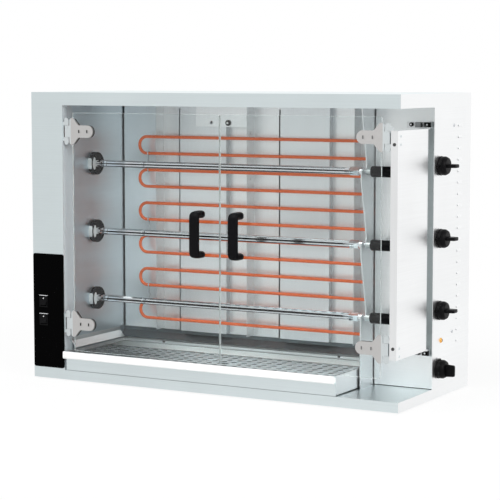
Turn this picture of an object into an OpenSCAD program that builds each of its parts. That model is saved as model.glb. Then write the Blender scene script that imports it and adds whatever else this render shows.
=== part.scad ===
// Electric skewer grill with three chain-driven spits, a glazed front and a drip drawer.
// Sheet-steel casing, millimetres, +Z up. The casing is drawn from its own front left
// bottom corner (X to the right, Y to the back) and is moved to the origin by place().

/* [Casing] */
// Width of the casing without the knobs
casing_w = 1100; // [1060:10:1300]
// Depth of the casing
casing_d = 450; // [440:5:560]
// Height of the casing without the feet
casing_h = 783; // [783:1:860]
// Height of the closed box on top
header_h = 35; // [25:1:35]
// Height of the base pan
base_h = 26; // [22:1:30]
// Thickness of the stainless sheet
sheet = 1.5; // [1:0.1:2]
// Width of the left column that hides the drive
column_w = 102; // [98:1:110]
// Width of the handle recess and the switch compartment
recess_w = 165; // [150:1:190]
// Depth of the handle recess
recess_d = 208; // [200:1:230]
// Depth of the cooking space
cavity_d = 300; // [296:1:330]
// Depth of the folded edges of the column front
flange_d = 12; // [8:1:16]
// Height of the rubber feet
foot_h = 4; // [3:0.5:8]
// Radius of a rubber foot
foot_r = 18; // [12:1:22]
// Distance of a foot from the casing's sides
foot_inset = 70; // [50:5:90]

/* [Rear wall] */
// Width of a raised reflector channel
channel_w = 147; // [100:1:160]
// Depth of a raised reflector channel
channel_depth = 20; // [12:1:22]
// Distance of the first channel from the left wall
channel_x = 202; // [180:1:210]
// Distance from one channel to the next
channel_pitch = 317; // [300:1:340]
// Width of the open seams beside the channels and in the left corner
seam_w = 4; // [2:0.5:5]
// Height of the fat deflectors' top edge above the base pan
deflector_top = 86; // [82:1:92]
// Height of the fat deflectors' drip edge above the base pan
deflector_low = 58; // [56:1:62]
// Reach of the side deflectors
deflector_reach = 16; // [12:1:20]
// Reach of the rear deflector
rear_deflector_reach = 22; // [16:1:26]

/* [Spits] */
// Height of the lowest spit above the base pan
spit_low = 183; // [175:1:190]
// Distance of the highest spit from the header
spit_top_gap = 163; // [155:1:175]
// Distance of the spits from the front
spit_y = 152; // [145:1:156]
// Leg of the spit's angle section
spit_leg = 13; // [12:0.5:18]
// Thickness of the angle section
spit_t = 2.2; // [1.6:0.1:3]
// Radius of the spit's neck, which turns in the notch
neck_r = 5; // [4:0.5:6]
// Radius of the spit's collar
collar_r = 9.5; // [8:0.5:12]
// Radius of the spit handle
spit_handle_r = 14; // [11:0.5:16]
// Length of the spit handle
spit_handle_l = 108; // [80:2:112]
// Radius of the handle's neck
spit_neck_r = 9; // [7:0.5:10]
// Length of the handle's neck
spit_neck_l = 16; // [8:1:30]
// Distance of the stop ring from the left wall
ring_x = 160; // [100:5:300]
// Turn of the lowest, middle and upper spit about its axis
spit_turns = [112, 120, 128];

/* [Spit drive] */
// Radius of the drive spindles
spindle_r = 7; // [6:0.5:8]
// Length of the spindle inside the left column
spindle_in = 50; // [44:1:54]
// Length of the spindle in the cooking space
spindle_out = 22; // [18:1:28]
// Width of the square socket in the spindle
socket_sq = 7.4; // [6:0.2:8]
// Radius of the bearing flange
bearing_flange_r = 31.5; // [24:0.5:32]
// Thickness of the bearing flange
bearing_flange_t = 13.5; // [8:0.5:14]
// Radius of the bearing barrel
bearing_barrel_r = 14.5; // [12:0.5:17]
// Length of the bearing barrel behind the wall
bearing_barrel_l = 28; // [20:1:30]
// Chain pitch
chain_pitch = 12.7; // [12.7:0.1:12.7]
// Number of sprocket teeth
sprocket_teeth = 12; // [10:1:14]
// Sprocket thickness
sprocket_t = 6; // [4:0.5:7]
// Height of the motor shaft above the base pan
motor_low = 64; // [62:1:68]
// Radius of the motor can
motor_r = 21; // [16:1:21]

/* [Heating elements] */
// Radius of the heating tube
tube_r = 4.25; // [3.5:0.25:5]
// Height of the lowest tube above the base pan
tube_low = 119.5; // [116:0.5:126]
// Distance of the highest tube from the header
tube_top_gap = 91; // [80:1:110]
// Distance of the tubes from the rear wall
tube_gap = 32; // [30:1:40]
// Distance of the left bends' outside from the left wall
bend_x = 72; // [50:1:90]
// Distances of the three element supports from the left wall
support_xs = [136, 427, 750];
// Depth of the element supports
support_depth = 41; // [38:1:46]

/* [Doors and guard] */
// Thickness of the door glass
glass_t = 5; // [4:0.5:6]
// Distance of the glass from the front plane
glass_y = 4; // [4:0.5:6]
// Gap between the two glasses
door_gap = 3; // [2:0.5:6]
// Gap between the header and the glass
glass_top_gap = 20; // [16:1:24]
// Gap between the drawer's lip and the glass
glass_low_gap = 3; // [2:0.5:6]
// Distance from the hinge pin to the glass
glass_to_pin = 18; // [17:0.5:20]
// Distance of the hinge pins from the column
pin_to_wall = 12; // [11:0.5:14]
// Distance of the hinge pins behind the front plane
pin_y = 10; // [9.8:0.1:11]
// Radius of the hinge pins
hinge_pin_r = 3; // [2.5:0.25:3.5]
// Radius of the hinge knuckles
knuckle_r = 5.5; // [5:0.25:6]
// Distance of a hinge from the glass's end
hinge_inset = 50; // [46:1:80]
// Length of the door handles
handle_l = 124; // [100:2:160]
// Width of the door handles
handle_w = 28; // [22:1:32]
// Reach of the door handles from the glass
handle_reach = 40; // [34:1:50]
// Thickness of the handle's bar
handle_t = 15; // [10:1:18]
// Distance of each handle from the middle of the doors
handle_off = 57.5; // [40:0.5:80]
// Height of the handles' middle above the base pan
handle_z = 392; // [300:2:450]
// Distance of the guard's face from the casing's right side
guard_in = 7; // [5:0.5:9]
// Depth of the guard
guard_d = 184; // [176:1:186]
// Width of the guard's front strip
guard_strip = 19; // [17:0.5:21]
// Height of the guard's lower edge above the base pan
guard_low = 104; // [98:1:110]
// Gap between the header and the guard
guard_top_gap = 53; // [50:1:60]

/* [Drawer] */
// Gap at each side of the drawer
drawer_gap = 5.5; // [3:0.5:7]
// Height of the drawer above the base pan
drawer_h = 52; // [48:1:53]
// Depth of the drawer
drawer_d = 290; // [250:5:292]
// Reach of the drawer's lip from the front plane
lip_reach = 8; // [6:0.5:9]
// Height of the drawer's lip
lip_h = 20; // [16:1:22]
// Drop of the perforated plate below the drawer's edge
plate_drop = 9; // [7:1:14]
// Distance between the plate's holes along the drawer
hole_pitch_x = 30; // [26:1:60]
// Distance between the plate's rows of holes
hole_pitch_y = 28.5; // [24:0.5:40]
// Radius of the plate's holes
hole_r = 6.5; // [4:0.5:8]
// Length of the plate's grip slot
grip_l = 36; // [30:1:60]

/* [Controls] */
// Width of the glass control panel
panel_w = 99; // [90:1:100]
// Height of the glass control panel
panel_h = 313; // [280:1:320]
// Thickness of the glass control panel
panel_t = 2.5; // [2:0.5:4]
// Gap between the base pan and the control panel
panel_low = 4; // [2:1:10]
// Width of a rocker's opening
rocker_w = 24; // [22:0.5:26]
// Height of a rocker's opening
rocker_h = 30; // [28:0.5:32]
// Distance of the rockers from the casing's left side
rocker_x = 35; // [30:1:60]
// Heights of the two rockers above the base pan
rocker_zs = [186, 136];
// Distance of the knobs behind the recess
knob_back = 38; // [32:1:60]
// Height of the middle regulator's knob above its spit
knob_rise = 16; // [0:1:25]
// Height of the main knob above the base pan
main_knob_low = 49; // [45:1:60]
// Radius of a knob's skirt
knob_r = 25; // [20:1:27]
// Reach of a knob from the casing's side
knob_reach = 46; // [40:1:50]
// Radius of a knob's spindle
knob_spindle_r = 3; // [2.5:0.5:4]
// Height of the pilot lamp above the base pan
pilot_z = 121; // [110:1:140]
// Radius of the pilot lamp's lens
pilot_r = 5.5; // [4:0.5:7]
// Number of cooling louvres
louvre_count = 20; // [10:1:20]
// Height of the lowest louvre above the base pan
louvre_low = 107; // [100:1:120]
// Distance of the highest louvre from the header
louvre_top_gap = 49; // [45:1:70]
// Width of a louvre
louvre_w = 25; // [16:1:40]
// Radius of the cable's way through the gland
gland_r = 6.5; // [5:0.5:8]
// Length of the gland behind the casing
gland_out = 20; // [16:1:26]

/* [Hidden] */
$fn = 64;

// clearances and cutting margins
cut = 1;
run_gap = 0.05;
seat_gap = 0.3;
// screws
screw_r = 2.5;
screw_head_r = 4.2;
screw_head_h = 1.2;
steel = "#cdd2d4";
dark_steel = "#8b9094";
black = "#1b1b1d";
pink_steel = "#c9bfba";

// planes of the casing
wall_top = casing_h - header_h;
wall_h = wall_top - base_h;
recess_x = casing_w - recess_w;
support_t = 3;
cavity_x1 = recess_x - support_t;
handle_proud = handle_reach - glass_y;
origin_x = (casing_w + knob_reach - screw_head_h) / 2;
origin_y = (casing_d + gland_out - handle_proud) / 2;

// spits
spit_pitch = (wall_h - spit_low - spit_top_gap) / 2;
spit_zs = [for (i = [0:2]) base_h + spit_low + i * spit_pitch];
bearing_x1 = column_w + bearing_flange_t;
spindle_x0 = column_w - spindle_in;
spindle_x1 = column_w + spindle_out;
spit_flat_x1 = cavity_x1 - 42;
block_w = 26;
block_sq = 16;
collar_w = 9;
handle_x0 = recess_x + 3;
tang_r = 4;
shank = socket_sq - 0.4;
notch_r = neck_r + seat_gap;
hook_y = spit_y - 22;
hook_rise = 4;
ramp_y = spit_y + 10;
ramp_foot = 18;
ramp_clear = 25;

// drive
sprocket_x = spindle_x0 + 4;
sprocket_pr = chain_pitch / (2 * sin(180 / sprocket_teeth));
roller_r = 4.2;
chain_z = base_h + motor_low;
gearbox_x0 = sheet + 6;
gearbox_x1 = gearbox_x0 + 40;
gearbox_d = 64;
gearbox_h = 56;
motor_l = 68;
motor_cap = 6;
bracket_t = 2;
bracket_d = 76;

// heating elements
tube_y = cavity_d - tube_gap;
tube_pitch = (wall_h - tube_low - tube_top_gap) / 11;
tube_zs = [for (i = [0:11]) base_h + tube_low + i * tube_pitch];
left_bend_x = column_w + bend_x + tube_r + tube_pitch / 2;
right_bend_x = cavity_x1 - 5 - tube_r - tube_pitch / 2;
terminal_x = recess_x + 35;
sleeve_r = 5.5;
sleeve_l = 12;
stud_r = 2;
stud_l = 12;

// drawer
runner_h = 3;
drawer_x0 = column_w + drawer_gap;
drawer_x1 = cavity_x1 - drawer_gap + support_t - 2;
drawer_z0 = base_h + runner_h;
drawer_z1 = base_h + drawer_h;
front_gap = 1;
lip_x0 = column_w - 1;
lip_x1 = drawer_x1 - 3;
lip_round = 5;
plate_z = drawer_z1 - plate_drop;
plate_t = 1.2;
ledge = 6;
grip_w = 18;

// doors
left_pin_x = column_w + pin_to_wall;
guard_x1 = casing_w - guard_in;
guard_strip_x = guard_x1 - guard_strip;
strip_to_pin = 9;
right_pin_x = guard_strip_x - strip_to_pin;
door_mid = (left_pin_x + right_pin_x) / 2;
glass_z0 = drawer_z1 + glass_low_gap;
glass_z1 = wall_top - glass_top_gap;
glass_w = door_mid - door_gap / 2 - left_pin_x - glass_to_pin;
hinge_zs = [glass_z0 + hinge_inset + 24.5, glass_z1 - hinge_inset];
leaf_t = 2.5;
leaf_reach = 85;
clamp_t = 4;
tongue_r = 16.5;
barrel_l = 31;
ear_z0 = barrel_l / 2 + 0.5;
ear_l = 10;
lobe_h = 36;
lobe_u0 = 9.5;
lobe_r = 8.5;
flange_z = [-22, 15];
arm_gap = 9.3;
rivet_zs = [3, -17];
rivet_y = 17;
rivet_r = 3;
fixed_u1 = 7;
leaf_screws = [41, 67];
glass_hole_r = 4;
hz = base_h + handle_z;

// guard
guard_z0 = base_h + guard_low;
guard_z1 = wall_top - guard_top_gap;
guard_pin_x = guard_x1 - 9;
guard_pin_y = recess_d - 12;
guard_pin_r = 3;
lug_w = 16;
pivot_leaf_t = 2;
pivot_leaf_w = 30;
pivot_gap = 0.5;
pivot_flange_h = 16;
pivot_block_w = 16;
pivot_block_pitch = 24.5;
pivot_bolt_off = 46;
recess_seam = 2.5;

// controls
knob_mid_z = spit_zs[1] + knob_rise;
knob_pitch = spit_pitch - 2;
knob_zs = [knob_mid_z + knob_pitch, knob_mid_z, knob_mid_z - knob_pitch, base_h + main_knob_low];
knob_y = recess_d + knob_back;
knob_bore = 0.06;
knob_slope = 7;
bush_r = 5;
louvre_back = 154.5;
regulator_l = 34;
regulator_w = 40;
louvre_y = recess_d + louvre_back;
louvre_z0 = base_h + louvre_low;
louvre_pitch = (wall_h - louvre_low - louvre_top_gap) / (louvre_count - 1);
gland_x = casing_w - 90;
gland_z = base_h + 50;
rocker_tilt = 7;
pivot_y = 1;
housing_wall = 1.5;
housing_d = 20;
fit_gap = 0.3;

// moves the casing's own corner to the shared origin: middle of the footprint, underside of the feet
module place() { translate([-origin_x, -origin_y, foot_h]) children(); }

// range moved by a length, and a range of the width w about 0
function shift(a, range) = [a + range[0], a + range[1]];
function about(w) = [-w / 2, w / 2];

// box given by its ranges
module slab(x, y, z) {
    translate([x[0], y[0], z[0]]) cube([x[1] - x[0], y[1] - y[0], z[1] - z[0]]);
}

module rod_x(x, y, z, r) { translate([x[0], y, z]) rotate([0, 90, 0]) cylinder(h = x[1] - x[0], r = r); }
module rod_y(x, y, z, r) { translate([x, y[1], z]) rotate([90, 0, 0]) cylinder(h = y[1] - y[0], r = r); }
module rod_z(x, y, z, r) { translate([x, y, z[0]]) cylinder(h = z[1] - z[0], r = r); }

// flat shape in the Y-Z plane drawn out along X
module along_x(x) { translate([x[0], 0, 0]) rotate([90, 0, 90]) linear_extrude(x[1] - x[0]) children(); }
// flat shape in the X-Z plane drawn out along Y
module along_y(y) { translate([0, y[1], 0]) rotate([90, 0, 0]) linear_extrude(y[1] - y[0]) children(); }

// rectangle with round corners
module round_rect(x, z, r) {
    translate([x[0] + r, z[0]]) square([x[1] - x[0] - 2 * r, z[1] - z[0]]);
    translate([x[0], z[0] + r]) square([x[1] - x[0], z[1] - z[0] - 2 * r]);
    for (cx = [x[0] + r, x[1] - r], cz = [z[0] + r, z[1] - r]) translate([cx, cz]) circle(r);
}

// slotted screw head whose back lies on the plane y
module screw_y(x, y, z) {
    difference() {
        rod_y(x, [y - screw_head_h, y], z, screw_head_r);
        slab([x - screw_head_r, x + screw_head_r], [y - screw_head_h - cut, y - screw_head_h / 2], [z - 0.5, z + 0.5]);
    }
}

// same, on a plane that faces +X
module screw_x(x, y, z) {
    difference() {
        rod_x([x, x + screw_head_h], y, z, screw_head_r);
        slab([x + screw_head_h / 2, x + screw_head_h + cut], [y - screw_head_r, y + screw_head_r], [z - 0.5, z + 0.5]);
    }
}

// ---------------------------------------------------------------- casing

module base_pan() color(steel) place() difference() {
    slab([0, casing_w], [0, casing_d], [0, base_h]);
    slab([sheet, casing_w - sheet], [sheet, casing_d - sheet], [sheet, base_h - sheet]);
    // air slots in the underside, below the drive and below the switches
    for (x = [column_w / 2, recess_x + recess_w / 2], i = [0:5])
        slab([x - 28, x + 28], [recess_d + 60 + i * 22, recess_d + 67 + i * 22], [-cut, sheet + cut]);
    // way for the wires to the switches
    rod_z(recess_x + recess_w / 2, recess_d + 60, [base_h - sheet - cut, base_h + cut], 14);
}

module rubber_feet() color(black) place()
    for (x = [foot_inset, casing_w - foot_inset], y = [foot_inset, casing_d - foot_inset])
        translate([x, y, -foot_h]) cylinder(h = foot_h, r1 = foot_r - 1.5, r2 = foot_r);

module top_cover() color(steel) place() difference() {
    slab([0, casing_w], [0, casing_d], [wall_top, casing_h]);
    slab([sheet, casing_w - sheet], [sheet, casing_d - sheet], [wall_top + sheet, casing_h - sheet]);
    // cable ways to the column and to the switch compartment
    rod_z(column_w / 2, casing_d - 60, [wall_top - cut, wall_top + sheet + cut], 16);
    rod_z(recess_x + recess_w / 2, casing_d - 60, [wall_top - cut, wall_top + sheet + cut], 16);
}

module column_front() color(steel) place() difference() {
    union() {
        slab([0, column_w], [0, sheet], [base_h, wall_top]);
        for (x = [sheet, column_w - 2 * sheet]) slab([x, x + sheet], [0, flange_d], [base_h, wall_top]);
    }
    for (z = rocker_zs) rocker_opening(base_h + z, [-cut, sheet + cut]);
}

module rocker_opening(z, y) {
    slab([rocker_x - rocker_w / 2, rocker_x + rocker_w / 2], y, [z - rocker_h / 2, z + rocker_h / 2]);
}

module left_side_panel() color(steel) place() difference() {
    slab([0, sheet], [sheet, casing_d - sheet], [base_h, wall_top]);
    for (i = [0:7], z = [base_h + 60, wall_top - 150])
        slab([-cut, sheet + cut], [120, 180], [z + i * 12, z + i * 12 + 4]);
}

module back_panel() color(steel) place() difference() {
    slab([sheet, casing_w - sheet], [casing_d - sheet, casing_d], [base_h, wall_top]);
    for (x = [column_w / 2, gland_x], i = [0:7])
        slab([x - 32, x + 32], [casing_d - sheet - cut, casing_d + cut], [wall_top - 160 + i * 12, wall_top - 156 + i * 12]);
    rod_y(gland_x, [casing_d - sheet - cut, casing_d + cut], gland_z, gland_r + 3.3);
}

module right_side_panel() color(steel) place() {
    difference() {
        slab([casing_w - sheet, casing_w], [recess_d, casing_d], [base_h, wall_top]);
        for (z = knob_zs) rod_x([casing_w - sheet - cut, casing_w + cut], knob_y, z, bush_r + 0.2);
        rod_x([casing_w - sheet - cut, casing_w + cut], knob_y + 16, base_h + pilot_z, pilot_r - 0.3);
        for (i = [0:louvre_count - 1]) slab([casing_w - sheet - cut, casing_w + cut],
            [louvre_y, louvre_y + louvre_w], shift(louvre_z0 + i * louvre_pitch, [-2.5, 2.4]));
    }
    // pressed hoods over the louvres
    for (i = [0:louvre_count - 1]) translate([0, 0, louvre_z0 + i * louvre_pitch]) along_y([louvre_y, louvre_y + louvre_w])
        polygon([[casing_w, 4.4], [casing_w + 3, -2], [casing_w + 2.2, -2], [casing_w - sheet, 2.4], [casing_w, 2.4]]);
}

module recess_wall() color(steel) place()
    slab([recess_x + recess_seam, casing_w - sheet], [recess_d, recess_d + sheet], [base_h, wall_top]);

module left_wall() color(steel) place() difference() {
    slab([column_w - sheet, column_w], [sheet, casing_d - sheet], [base_h, wall_top]);
    for (z = spit_zs) rod_x([column_w - sheet - cut, column_w + cut], spit_y, z, bearing_barrel_r + seat_gap);
}

// side wall of the cooking space: ramps in its front edge lead each spit's neck into its seat
module spit_support_wall() color(steel) place() difference() {
    slab([cavity_x1, recess_x], [hook_y, casing_d - sheet], [base_h, wall_top]);
    along_x([cavity_x1 - cut, recess_x + cut]) for (z = spit_zs) {
        polygon([
            [hook_y - cut, z + spit_pitch - ramp_clear], [hook_y, z + spit_pitch - ramp_clear],
            [ramp_y, z + ramp_foot], [spit_y + notch_r, z], [spit_y - notch_r, z],
            [spit_y - notch_r, z + hook_rise], [hook_y - cut, z + hook_rise]
        ]);
        translate([spit_y, z]) circle(notch_r);
    }
    for (i = [0, 3, 4, 7, 8, 11])
        rod_x([cavity_x1 - cut, recess_x + cut], tube_y, tube_zs[i], tube_r + seat_gap);
}

// rear sheet: open seams left of the channels and in the left corner let it grow with the heat
module rear_wall() color(steel) place() difference() {
    slab([column_w + seam_w, cavity_x1], [cavity_d, cavity_d + sheet], [base_h, wall_top]);
    for (i = [0:1]) {
        seam_x = column_w + channel_x + i * channel_pitch - channel_depth / 2;
        slab(shift(seam_x, [-seam_w - 1.5, -1.5]), [cavity_d - cut, cavity_d + sheet + cut],
            [base_h + 20, wall_top - 12]);
    }
}

module reflector_channels() color(steel) place() for (i = [0:1]) {
    x = column_w + channel_x + i * channel_pitch;
    difference() {
        slab([x, x + channel_w], [cavity_d - channel_depth, cavity_d], [base_h + deflector_top + 2, wall_top]);
        slab([x + sheet, x + channel_w - sheet], [cavity_d - channel_depth + sheet, cavity_d + cut],
            [base_h + deflector_top + 2 - cut, wall_top + cut]);
    }
}

module fat_deflectors() color(steel) place() {
    top = base_h + deflector_top;
    low = base_h + deflector_low;
    fold = top - 10;
    side_y1 = cavity_d - rear_deflector_reach - 2;
    side = [[0, top], [sheet, top], [sheet, fold], [deflector_reach, low + 1], [deflector_reach - 1, low], [0, fold - 2]];
    along_y([flange_d + 20, side_y1]) translate([column_w, 0]) polygon(side);
    along_y([ramp_y + 4, side_y1]) translate([cavity_x1, 0]) mirror([1, 0]) polygon(side);
    along_x([column_w, cavity_x1]) polygon([
        [cavity_d, top], [cavity_d - sheet, top], [cavity_d - sheet, fold],
        [cavity_d - rear_deflector_reach, low + 1], [cavity_d - rear_deflector_reach + 1, low],
        [cavity_d, fold - 2]
    ]);
}

module drawer_runners() color(dark_steel) place()
    for (x = [drawer_x0 + 12, drawer_x1 - 32]) slab([x, x + 20], [10, cavity_d - 4], [base_h, base_h + runner_h]);

// ---------------------------------------------------------------- heating elements

// one double hairpin: four straight tubes, two bends at the left and one at the right
module heating_element(k) place() {
    z = [for (j = [0:3]) tube_zs[4 * k + j]];
    for (j = [0:3]) {
        x1 = (j == 0 || j == 3) ? terminal_x : right_bend_x;
        rod_x([left_bend_x, x1], tube_y, z[j], tube_r);
    }
    for (j = [0, 2]) translate([left_bend_x, tube_y, z[j] + tube_pitch / 2]) rotate([90, 0, 0]) rotate([0, 0, 90])
        rotate_extrude(angle = 180) translate([tube_pitch / 2, 0]) circle(tube_r);
    translate([right_bend_x, tube_y, z[1] + tube_pitch / 2]) rotate([90, 0, 0]) rotate([0, 0, -90])
        rotate_extrude(angle = 180) translate([tube_pitch / 2, 0]) circle(tube_r);
}

module element_lower() color("#d66e48") heating_element(0);
module element_middle() color("#d66e48") heating_element(1);
module element_upper() color("#d66e48") heating_element(2);

// upright angle strips with a notch for each tube, and the wire clips between the bends
module element_supports() color(dark_steel) place() {
    z0 = base_h + deflector_top + 2;
    for (sx = support_xs) {
        x = column_w + sx;
        slab([x - 16, x], [cavity_d - sheet, cavity_d], [z0, wall_top]);
        difference() {
            slab([x - sheet, x], [cavity_d - support_depth, cavity_d - sheet], [z0, wall_top]);
            for (z = tube_zs) {
                rod_x([x - sheet - cut, x + cut], tube_y, z, tube_r + seat_gap);
                slab([x - sheet - cut, x + cut], [cavity_d - support_depth - cut, tube_y],
                    [z - tube_r - seat_gap, z + tube_r + seat_gap]);
            }
        }
        for (z = [tube_zs[11] + 15, tube_zs[9] - 17, tube_zs[1] + 23]) screw_x(x, cavity_d - 19, z);
    }
    for (k = [0:2]) element_clip(tube_zs[4 * k + 1], tube_zs[4 * k + 2]);
}

// two rings on neighbouring tubes, joined by a bent strip
module element_clip(z0, z1) {
    x = left_bend_x + 6;
    for (z = [z0, z1]) difference() {
        rod_x([x - 1.5, x + 1.5], tube_y, z, tube_r + 1.6);
        rod_x([x - 1.5 - cut, x + 1.5 + cut], tube_y, z, tube_r + 0.1);
    }
    h = z1 - z0 - 2 * tube_r - 2.4;
    translate([x, 0, z0 + tube_r + 1.2]) along_y([tube_y - 0.8, tube_y + 0.8])
        polygon([[-1.5, 0], [1.5, 0], [1.5, h * 0.25], [5, h * 0.35], [-0.5, h * 0.65], [1.5, h * 0.75], [1.5, h],
            [-1.5, h], [-1.5, h * 0.72], [-4.5, h * 0.62], [1.5, h * 0.35], [-1.5, h * 0.28]]);
}

// ceramic sleeves and studs on the cold ends
module element_terminals() color("#e8e4d8") place() for (i = [0, 3, 4, 7, 8, 11]) {
    rod_x([terminal_x, terminal_x + sleeve_l], tube_y, tube_zs[i], sleeve_r);
    rod_x([terminal_x + sleeve_l, terminal_x + sleeve_l + stud_l], tube_y, tube_zs[i], stud_r);
}

// plate that hangs from the header above the elements, with the oven lamp's hole
lamp_inset = 264;
lamp_x = column_w + lamp_inset;
lamp_w = 160;
lamp_h = 60;
lamp_r = 8;
lamp_y = tube_y - 6;
bulb_x = lamp_x + 103;
bulb_z = wall_top - 49;

module lamp_plate() color(steel) place() difference() {
    union() {
        along_y([lamp_y, lamp_y + sheet]) round_rect([lamp_x, lamp_x + lamp_w], [wall_top - lamp_h, wall_top], 3);
        slab([lamp_x, lamp_x + lamp_w], [lamp_y, cavity_d - channel_depth], [wall_top - sheet, wall_top]);
    }
    rod_y(bulb_x, [lamp_y - cut, lamp_y + sheet + cut], bulb_z, lamp_r - 1);
    rod_y(bulb_x - 54, [lamp_y - cut, lamp_y + sheet + cut], bulb_z, 4.5);
}

module oven_lamp() color(black) place() {
    rod_y(bulb_x, [lamp_y - 3, lamp_y], bulb_z, lamp_r);
    rod_y(bulb_x, [lamp_y, lamp_y + 12], bulb_z, lamp_r - 1.3);
    translate([bulb_x, lamp_y - 3, bulb_z]) rotate([90, 0, 0]) cylinder(h = 3, r1 = lamp_r - 2, r2 = lamp_r - 5);
}

// ---------------------------------------------------------------- controls

module control_panel() color(black) place() difference() {
    along_y([-panel_t, 0]) round_rect([sheet, sheet + panel_w], shift(base_h + panel_low, [0, panel_h]), 6);
    for (z = rocker_zs) rocker_opening(base_h + z, [-panel_t - cut, cut]);
}

module rocker_housings() color(black) place() for (z = rocker_zs) translate([rocker_x, 0, base_h + z]) {
    w = rocker_w - 2 * fit_gap;
    h = rocker_h - 2 * fit_gap;
    difference() {
        union() {
            slab([-w / 2, w / 2], [-panel_t, housing_d], [-h / 2, h / 2]);
            slab([-w / 2 - 1.8, w / 2 + 1.8], [-panel_t - 1.5, -panel_t], [-h / 2 - 1.8, h / 2 + 1.8]);
        }
        slab([-w / 2 + housing_wall, w / 2 - housing_wall], [-panel_t - 1.5 - cut, housing_d - housing_wall],
            [-h / 2 + housing_wall, h / 2 - housing_wall]);
        rod_x([-w / 2 - cut, w / 2 + cut], pivot_y, 0, 1.5 + knob_bore);
    }
    for (x = [-5, 5]) slab([x - 0.4, x + 0.4], [housing_d, housing_d + 8], [-3, 3]);
}

// rocking cap, one end pressed in at rest
module rocker(z) color(black) place() translate([rocker_x, pivot_y, base_h + z]) rotate([-rocker_tilt, 0, 0]) {
    w = rocker_w / 2 - fit_gap - housing_wall - 0.4;
    h = rocker_h / 2 - 3.4;
    along_x([-w, w]) polygon([[-7.5, h], [-5.6, 0], [-7.5, -h], [-2, -h], [3, -3], [3, 3], [-2, h]]);
    rod_x([-w - 1.5, w + 1.5], 0, 0, 1.5);
}

module rocker_motor() rocker(rocker_zs[0]);
module rocker_lamp() rocker(rocker_zs[1]);

module pilot_lamp() color("#e0a020") place() translate([casing_w, knob_y + 16, base_h + pilot_z]) {
    rod_x([0, 1.5], 0, 0, pilot_r + 1.2);
    rod_x([-22, 0], 0, 0, pilot_r - 0.6);
    translate([1.5, 0, 0]) rotate([0, 90, 0]) cylinder(h = 3, r1 = pilot_r, r2 = pilot_r - 2);
}

// energy regulators and main switch behind the knobs
module regulators() color("#d9d9d4") place() for (z = knob_zs) translate([casing_w, knob_y, z]) difference() {
    union() {
        slab([-sheet - regulator_l, -sheet], about(regulator_w), about(regulator_w));
        rod_x([-sheet, 1], 0, 0, bush_r);
    }
    rod_x([-16, 1 + cut], 0, 0, knob_spindle_r + knob_bore);
}

// knob with its spindle: skirt with a pointer nub, round drum and a straight bar to grip
module knob(z, turn) color(black) place() translate([casing_w, knob_y, z]) rotate([turn, 0, 0]) {
    drum_x1 = knob_reach / 2;
    rod_x([-15, 3], 0, 0, knob_spindle_r);
    translate([1.6, 0, 0]) rotate([0, 90, 0]) cylinder(h = 3, r1 = knob_r, r2 = knob_r - 0.5);
    translate([4.6, 0, 0]) rotate([0, 90, 0]) cylinder(h = 1.4, r = knob_r - 4);
    rod_x([6, drum_x1 - knob_slope], 0, 0, knob_r - 0.8);
    translate([drum_x1 - knob_slope, 0, 0]) rotate([0, 90, 0])
        cylinder(h = knob_slope, r1 = knob_r - 0.8, r2 = knob_r - 5);
    slab([1.6, 8], [-knob_r - 3, -knob_r + 8], about(5));
    slab([drum_x1 - 1, knob_reach - 2], [-knob_r + 12, knob_r - 6], [-5, 5]);
    slab([drum_x1 - 1, knob_reach], [-knob_r + 15, knob_r - 9], [-3.5, 3.5]);
}

module knob_upper() knob(knob_zs[0], 0);
module knob_middle() knob(knob_zs[1], 0);
module knob_lower() knob(knob_zs[2], 0);
module knob_main() knob(knob_zs[3], -90);

module terminal_block() color("#e8e4d8") place() difference() {
    slab([gland_x - 30, gland_x + 30], [casing_d - sheet - 24, casing_d - sheet], shift(gland_z, [40, 62]));
    for (i = [-2:2]) rod_y(gland_x + i * 11, [casing_d - sheet - 24 - cut, casing_d - sheet - 8], gland_z + 51, 3);
}

module cable_gland() color(black) place() difference() {
    union() {
        rod_y(gland_x, [casing_d - sheet - 8, casing_d], gland_z, gland_r + 3);
        translate([gland_x, casing_d, gland_z]) rotate([-90, 0, 0]) {
            cylinder(h = 7, r = gland_r + 8, $fn = 6);
            translate([0, 0, 7]) cylinder(h = gland_out - 7, r1 = gland_r + 6, r2 = gland_r + 3);
        }
        translate([gland_x, casing_d - sheet - 6, gland_z]) rotate([-90, 0, 0]) cylinder(h = 6, r = gland_r + 8, $fn = 6);
    }
    rod_y(gland_x, [casing_d - sheet - 8 - cut, casing_d + gland_out + cut], gland_z, gland_r);
}

// ---------------------------------------------------------------- spit drive in the left column

module spindle_bearings() color(steel) place() for (z = spit_zs) difference() {
    union() {
        rod_x([column_w - bearing_barrel_l, column_w], spit_y, z, bearing_barrel_r);
        rod_x([column_w, bearing_x1 - 2], spit_y, z, bearing_flange_r);
        translate([bearing_x1 - 2, spit_y, z]) rotate([0, 90, 0])
            cylinder(h = 2, r1 = bearing_flange_r, r2 = bearing_flange_r - 2);
    }
    rod_x([column_w - bearing_barrel_l - cut, bearing_x1 + cut], spit_y, z, spindle_r + run_gap);
    // dished face round the spindle
    rod_x([bearing_x1 - 3, bearing_x1 + cut], spit_y, z, bearing_flange_r - 5);
}

module sprocket(y, z, bore) {
    tip = sprocket_pr + 3.4;
    root = sprocket_pr - roller_r;
    step = 360 / sprocket_teeth;
    points = [for (i = [0:sprocket_teeth - 1], p = [[0, root], [0.3, root + 1], [0.42, tip], [0.58, tip], [0.7, root + 1]])
        p[1] * [cos((i + p[0]) * step), sin((i + p[0]) * step)]];
    translate([0, y, z]) along_x([sprocket_x, sprocket_x + sprocket_t]) difference() {
        polygon(points);
        circle(bore);
    }
}

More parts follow.
